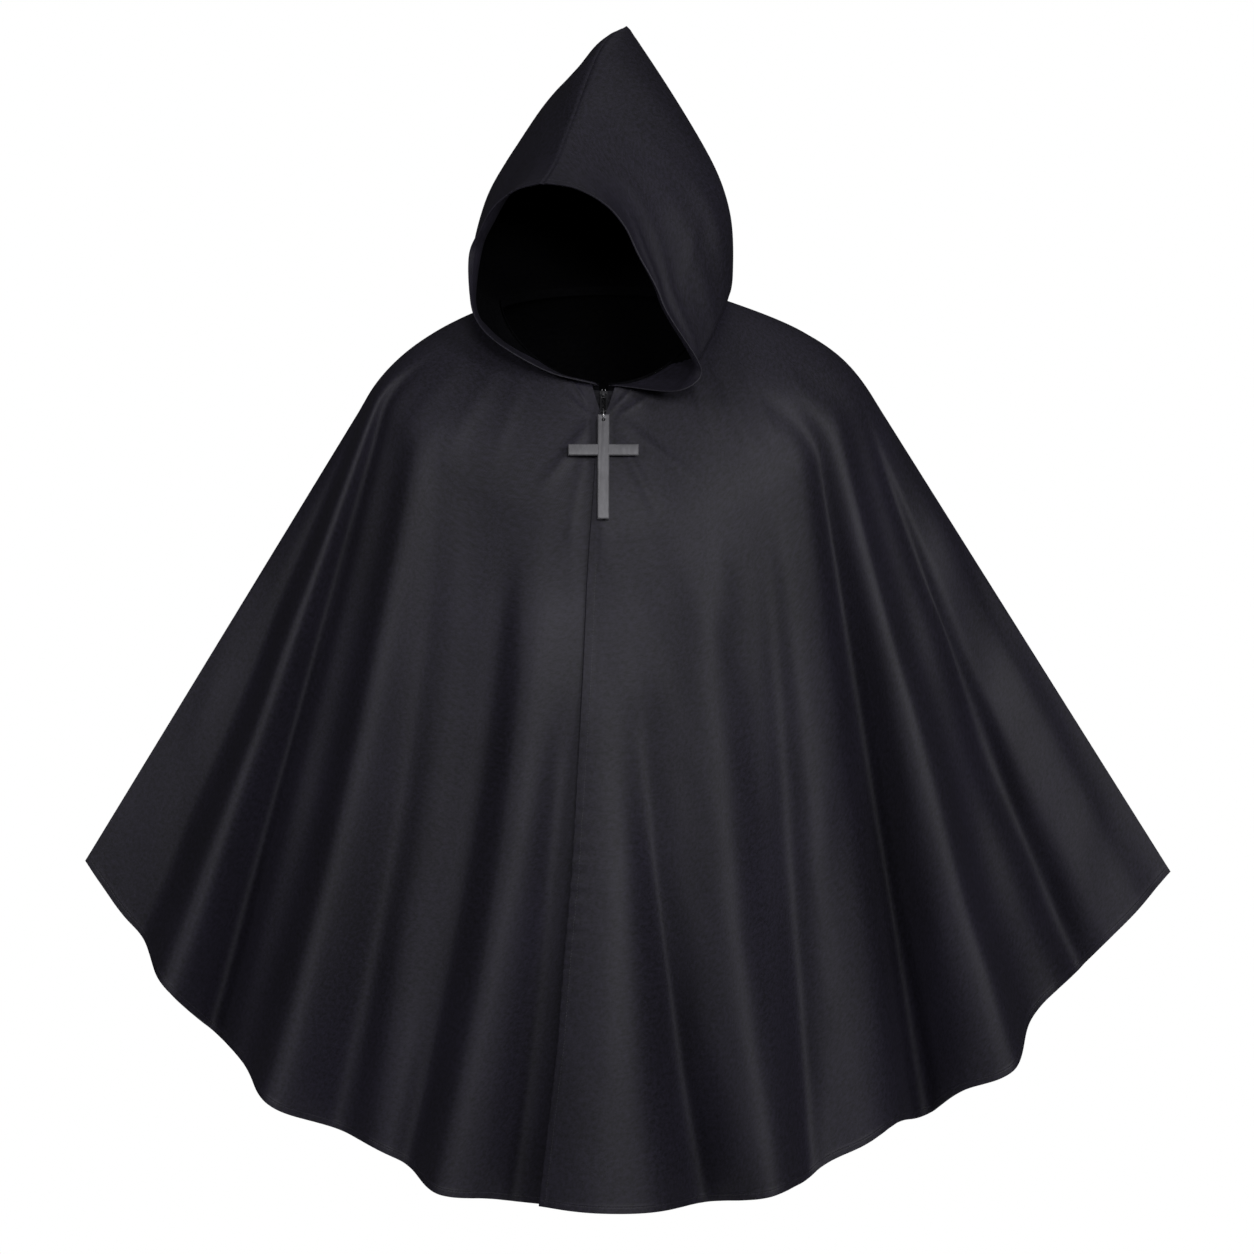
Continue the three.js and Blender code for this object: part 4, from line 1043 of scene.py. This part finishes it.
def softened(cad_node, name, width):
    """A copy of a CAD node with its flat faces made whole and its edges rounded off by a bevel."""
    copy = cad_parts[cad_node].data.copy()
    copy.name = name
    shape = bmesh.new()
    shape.from_mesh(copy)
    bmesh.ops.remove_doubles(shape, verts=shape.verts, dist=1e-6)
    bmesh.ops.dissolve_limit(shape, angle_limit=math.radians(1), verts=shape.verts, edges=shape.edges)
    shape.to_mesh(copy)
    shape.free()
    copy.materials.clear()
    copy.polygons.foreach_set("use_smooth", np.ones(len(copy.polygons), bool))
    piece = placed(name, copy)
    bevel = piece.modifiers.new("rounded_edges", "BEVEL")
    bevel.width = width
    bevel.segments = 3
    bevel.limit_method = "ANGLE"
    bevel.angle_limit = math.radians(25)
    bevel.harden_normals = True
    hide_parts(cad_node)
    return piece


enamel = metal("dark_enamel", (0.012, 0.012, 0.013, 1), (0.05, 0.05, 0.055, 1), 0.55, 0.38, 0.00003)
slider = softened("zip_slider", "slider_body", 0.00016)
dress(slider, "slider_metal", enamel)

stop_middle = SLIDER_PLACE + SLIDER_UP * STOP["up"] + SLIDER_OUT * STOP["out"]
stop_places = stop_middle + SIDEWAYS * STOP["aside"] * np.array([[-1], [1]])
steel = metal("bright_steel", (0.25, 0.25, 0.26, 1), (0.5, 0.5, 0.52, 1), 0.9, 0.3, 0.00002)
stop_up, stop_out = np.tile(SLIDER_UP, (2, 1)), np.tile(SLIDER_OUT, (2, 1))
stops = spindles("zip_top_stops", stop_places, stop_up, stop_out, STOP)
dress(stops, "slider_metal", steel)

pull_down = unit(LOWER_BAR - HINGE)
pull_length = float(np.linalg.norm(LOWER_BAR - HINGE))
half_width = PULL["width"] / 2 - PULL["corner"]
bends = np.linspace(0, math.pi / 2, 10) + np.arange(4)[:, None] * math.pi / 2
first_y, last_y = PULL["corner"], pull_length - PULL["corner"]
corner_x = np.array((half_width, -half_width, -half_width, half_width))[:, None]
corner_y = np.array((first_y, first_y, last_y, last_y))[:, None]
loop_x = (corner_x + PULL["corner"] * np.cos(bends)).ravel()
loop_down = (corner_y - PULL["corner"] * np.sin(bends)).ravel()
pull_path = HINGE + loop_x[:, None] * SIDEWAYS + loop_down[:, None] * pull_down
pull = wire_loop("pull_wire", pull_path, PULL["wire"], unit(np.cross(SIDEWAYS, pull_down)))
pull.data.materials.append(enamel)
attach(pull, "pull")
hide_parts("zip_pull")

# Ring and cross
# An oval split ring hangs from the pull, and through it a plain flat cross of dull grey cast metal with
# bevelled edges, its upright a little thicker than its arms.

RING_MIDDLE = np.array([-25, -122.864, -121.35])
RING = dict(wire=0.8, along=6.4, across=4.4)
CROSS_UP = np.array([0, 0.31399, 0.94943])
CROSS_OUT = np.array([0, -0.94943, 0.31399])

turn = np.linspace(0, 2 * math.pi, 48, endpoint=False)[:, None]
oval = RING["along"] * np.cos(turn) * CROSS_UP + RING["across"] * np.sin(turn) * CROSS_OUT
ring_path = RING_MIDDLE + oval
ring = wire_loop("split_ring", ring_path, RING["wire"], SIDEWAYS)
grey = metal("grey_cast_metal", (0.105, 0.103, 0.112, 1), (0.2, 0.197, 0.213, 1), 0.35, 0.46, 0.00004)
ring.data.materials.append(steel)
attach(ring, "ring")
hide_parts("cross_ring")

cross = softened("cross", "cast_cross", 0.00025)
cross.data.materials.append(grey)
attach(cross, "pendant")

# Studio
# A pale round floor far below the hem, a white surround, and soft lights from the front, above and behind.

FLOOR = dict(radius=1.9, z=-1.9, corners=96)

turn = np.linspace(0, 2 * math.pi, FLOOR["corners"], endpoint=False)
floor_rim = [FLOOR["radius"] * np.cos(turn), FLOOR["radius"] * np.sin(turn), np.full(len(turn), FLOOR["z"])]
floor_mesh = bpy.data.meshes.new("floor")
floor_mesh.from_pydata(np.stack(floor_rim, -1).tolist(), [], [list(range(len(turn)))])
floor = placed("floor", floor_mesh)
FLOOR_TONES = ((0.88, 0.88, 0.88, 1), (0.92, 0.92, 0.92, 1))
floor_mesh.materials.append(grained("pale_floor", 60.0, 3.0, FLOOR_TONES, 0.9, 0.1))

world = bpy.data.worlds.new("studio")
world.use_nodes = True
bpy.context.scene.world = world
sky = world.node_tree
sky.nodes.clear()
seen = node(sky, "ShaderNodeLightPath")
strength = ranged(sky, seen.outputs["Is Camera Ray"], to_min=0.03, to_max=1.0)
air = node(sky, "ShaderNodeBackground", {"Color": (1, 1, 1, 1), "Strength": strength})
node(sky, "ShaderNodeOutputWorld", {"Surface": air.outputs[0]})


def soft_light(name, place, aim_z, width, height, watts):
    """A rectangular softbox at a place, facing the cape's middle at a height, in metres and watts."""
    lamp = bpy.data.lights.new(name, "AREA")
    lamp.shape = "RECTANGLE"
    lamp.size, lamp.size_y, lamp.energy = width, height, watts
    holder = placed(name, lamp)
    holder.location = place
    holder.rotation_euler = (Vector((0, 0, aim_z)) - Vector(place)).to_track_quat("-Z", "Y").to_euler()


soft_light("front_light", (0.7, -3.9, 0.9), -0.4, 1.0, 1.0, 50)
soft_light("right_light", (2.5, -3.0, 1.2), -0.4, 1.0, 1.4, 48)
soft_light("left_light", (-2.7, -2.8, 1.2), -0.4, 1.0, 1.4, 30)
soft_light("top_light", (0.2, 0.4, 2.8), -0.2, 1.6, 1.6, 6)
soft_light("back_light", (0, 3.6, -0.8), -0.4, 1.6, 1.6, 16)

CAMERA = dict(aim=(0, 0, -0.3536), tilt=3, distance=4.2, sensor=36, lens=109.6)

aim = Vector(CAMERA["aim"])
tilt = math.radians(CAMERA["tilt"])
eye = bpy.data.cameras.new("camera")
eye.sensor_width = CAMERA["sensor"]
eye.lens = CAMERA["lens"]
camera = placed("camera", eye)
camera.location = aim + CAMERA["distance"] * Vector((0, -math.cos(tilt), math.sin(tilt)))
camera.rotation_euler = (aim - camera.location).to_track_quat("-Z", "Y").to_euler()
bpy.context.scene.camera = camera
bpy.context.scene.view_settings.view_transform = "Standard"
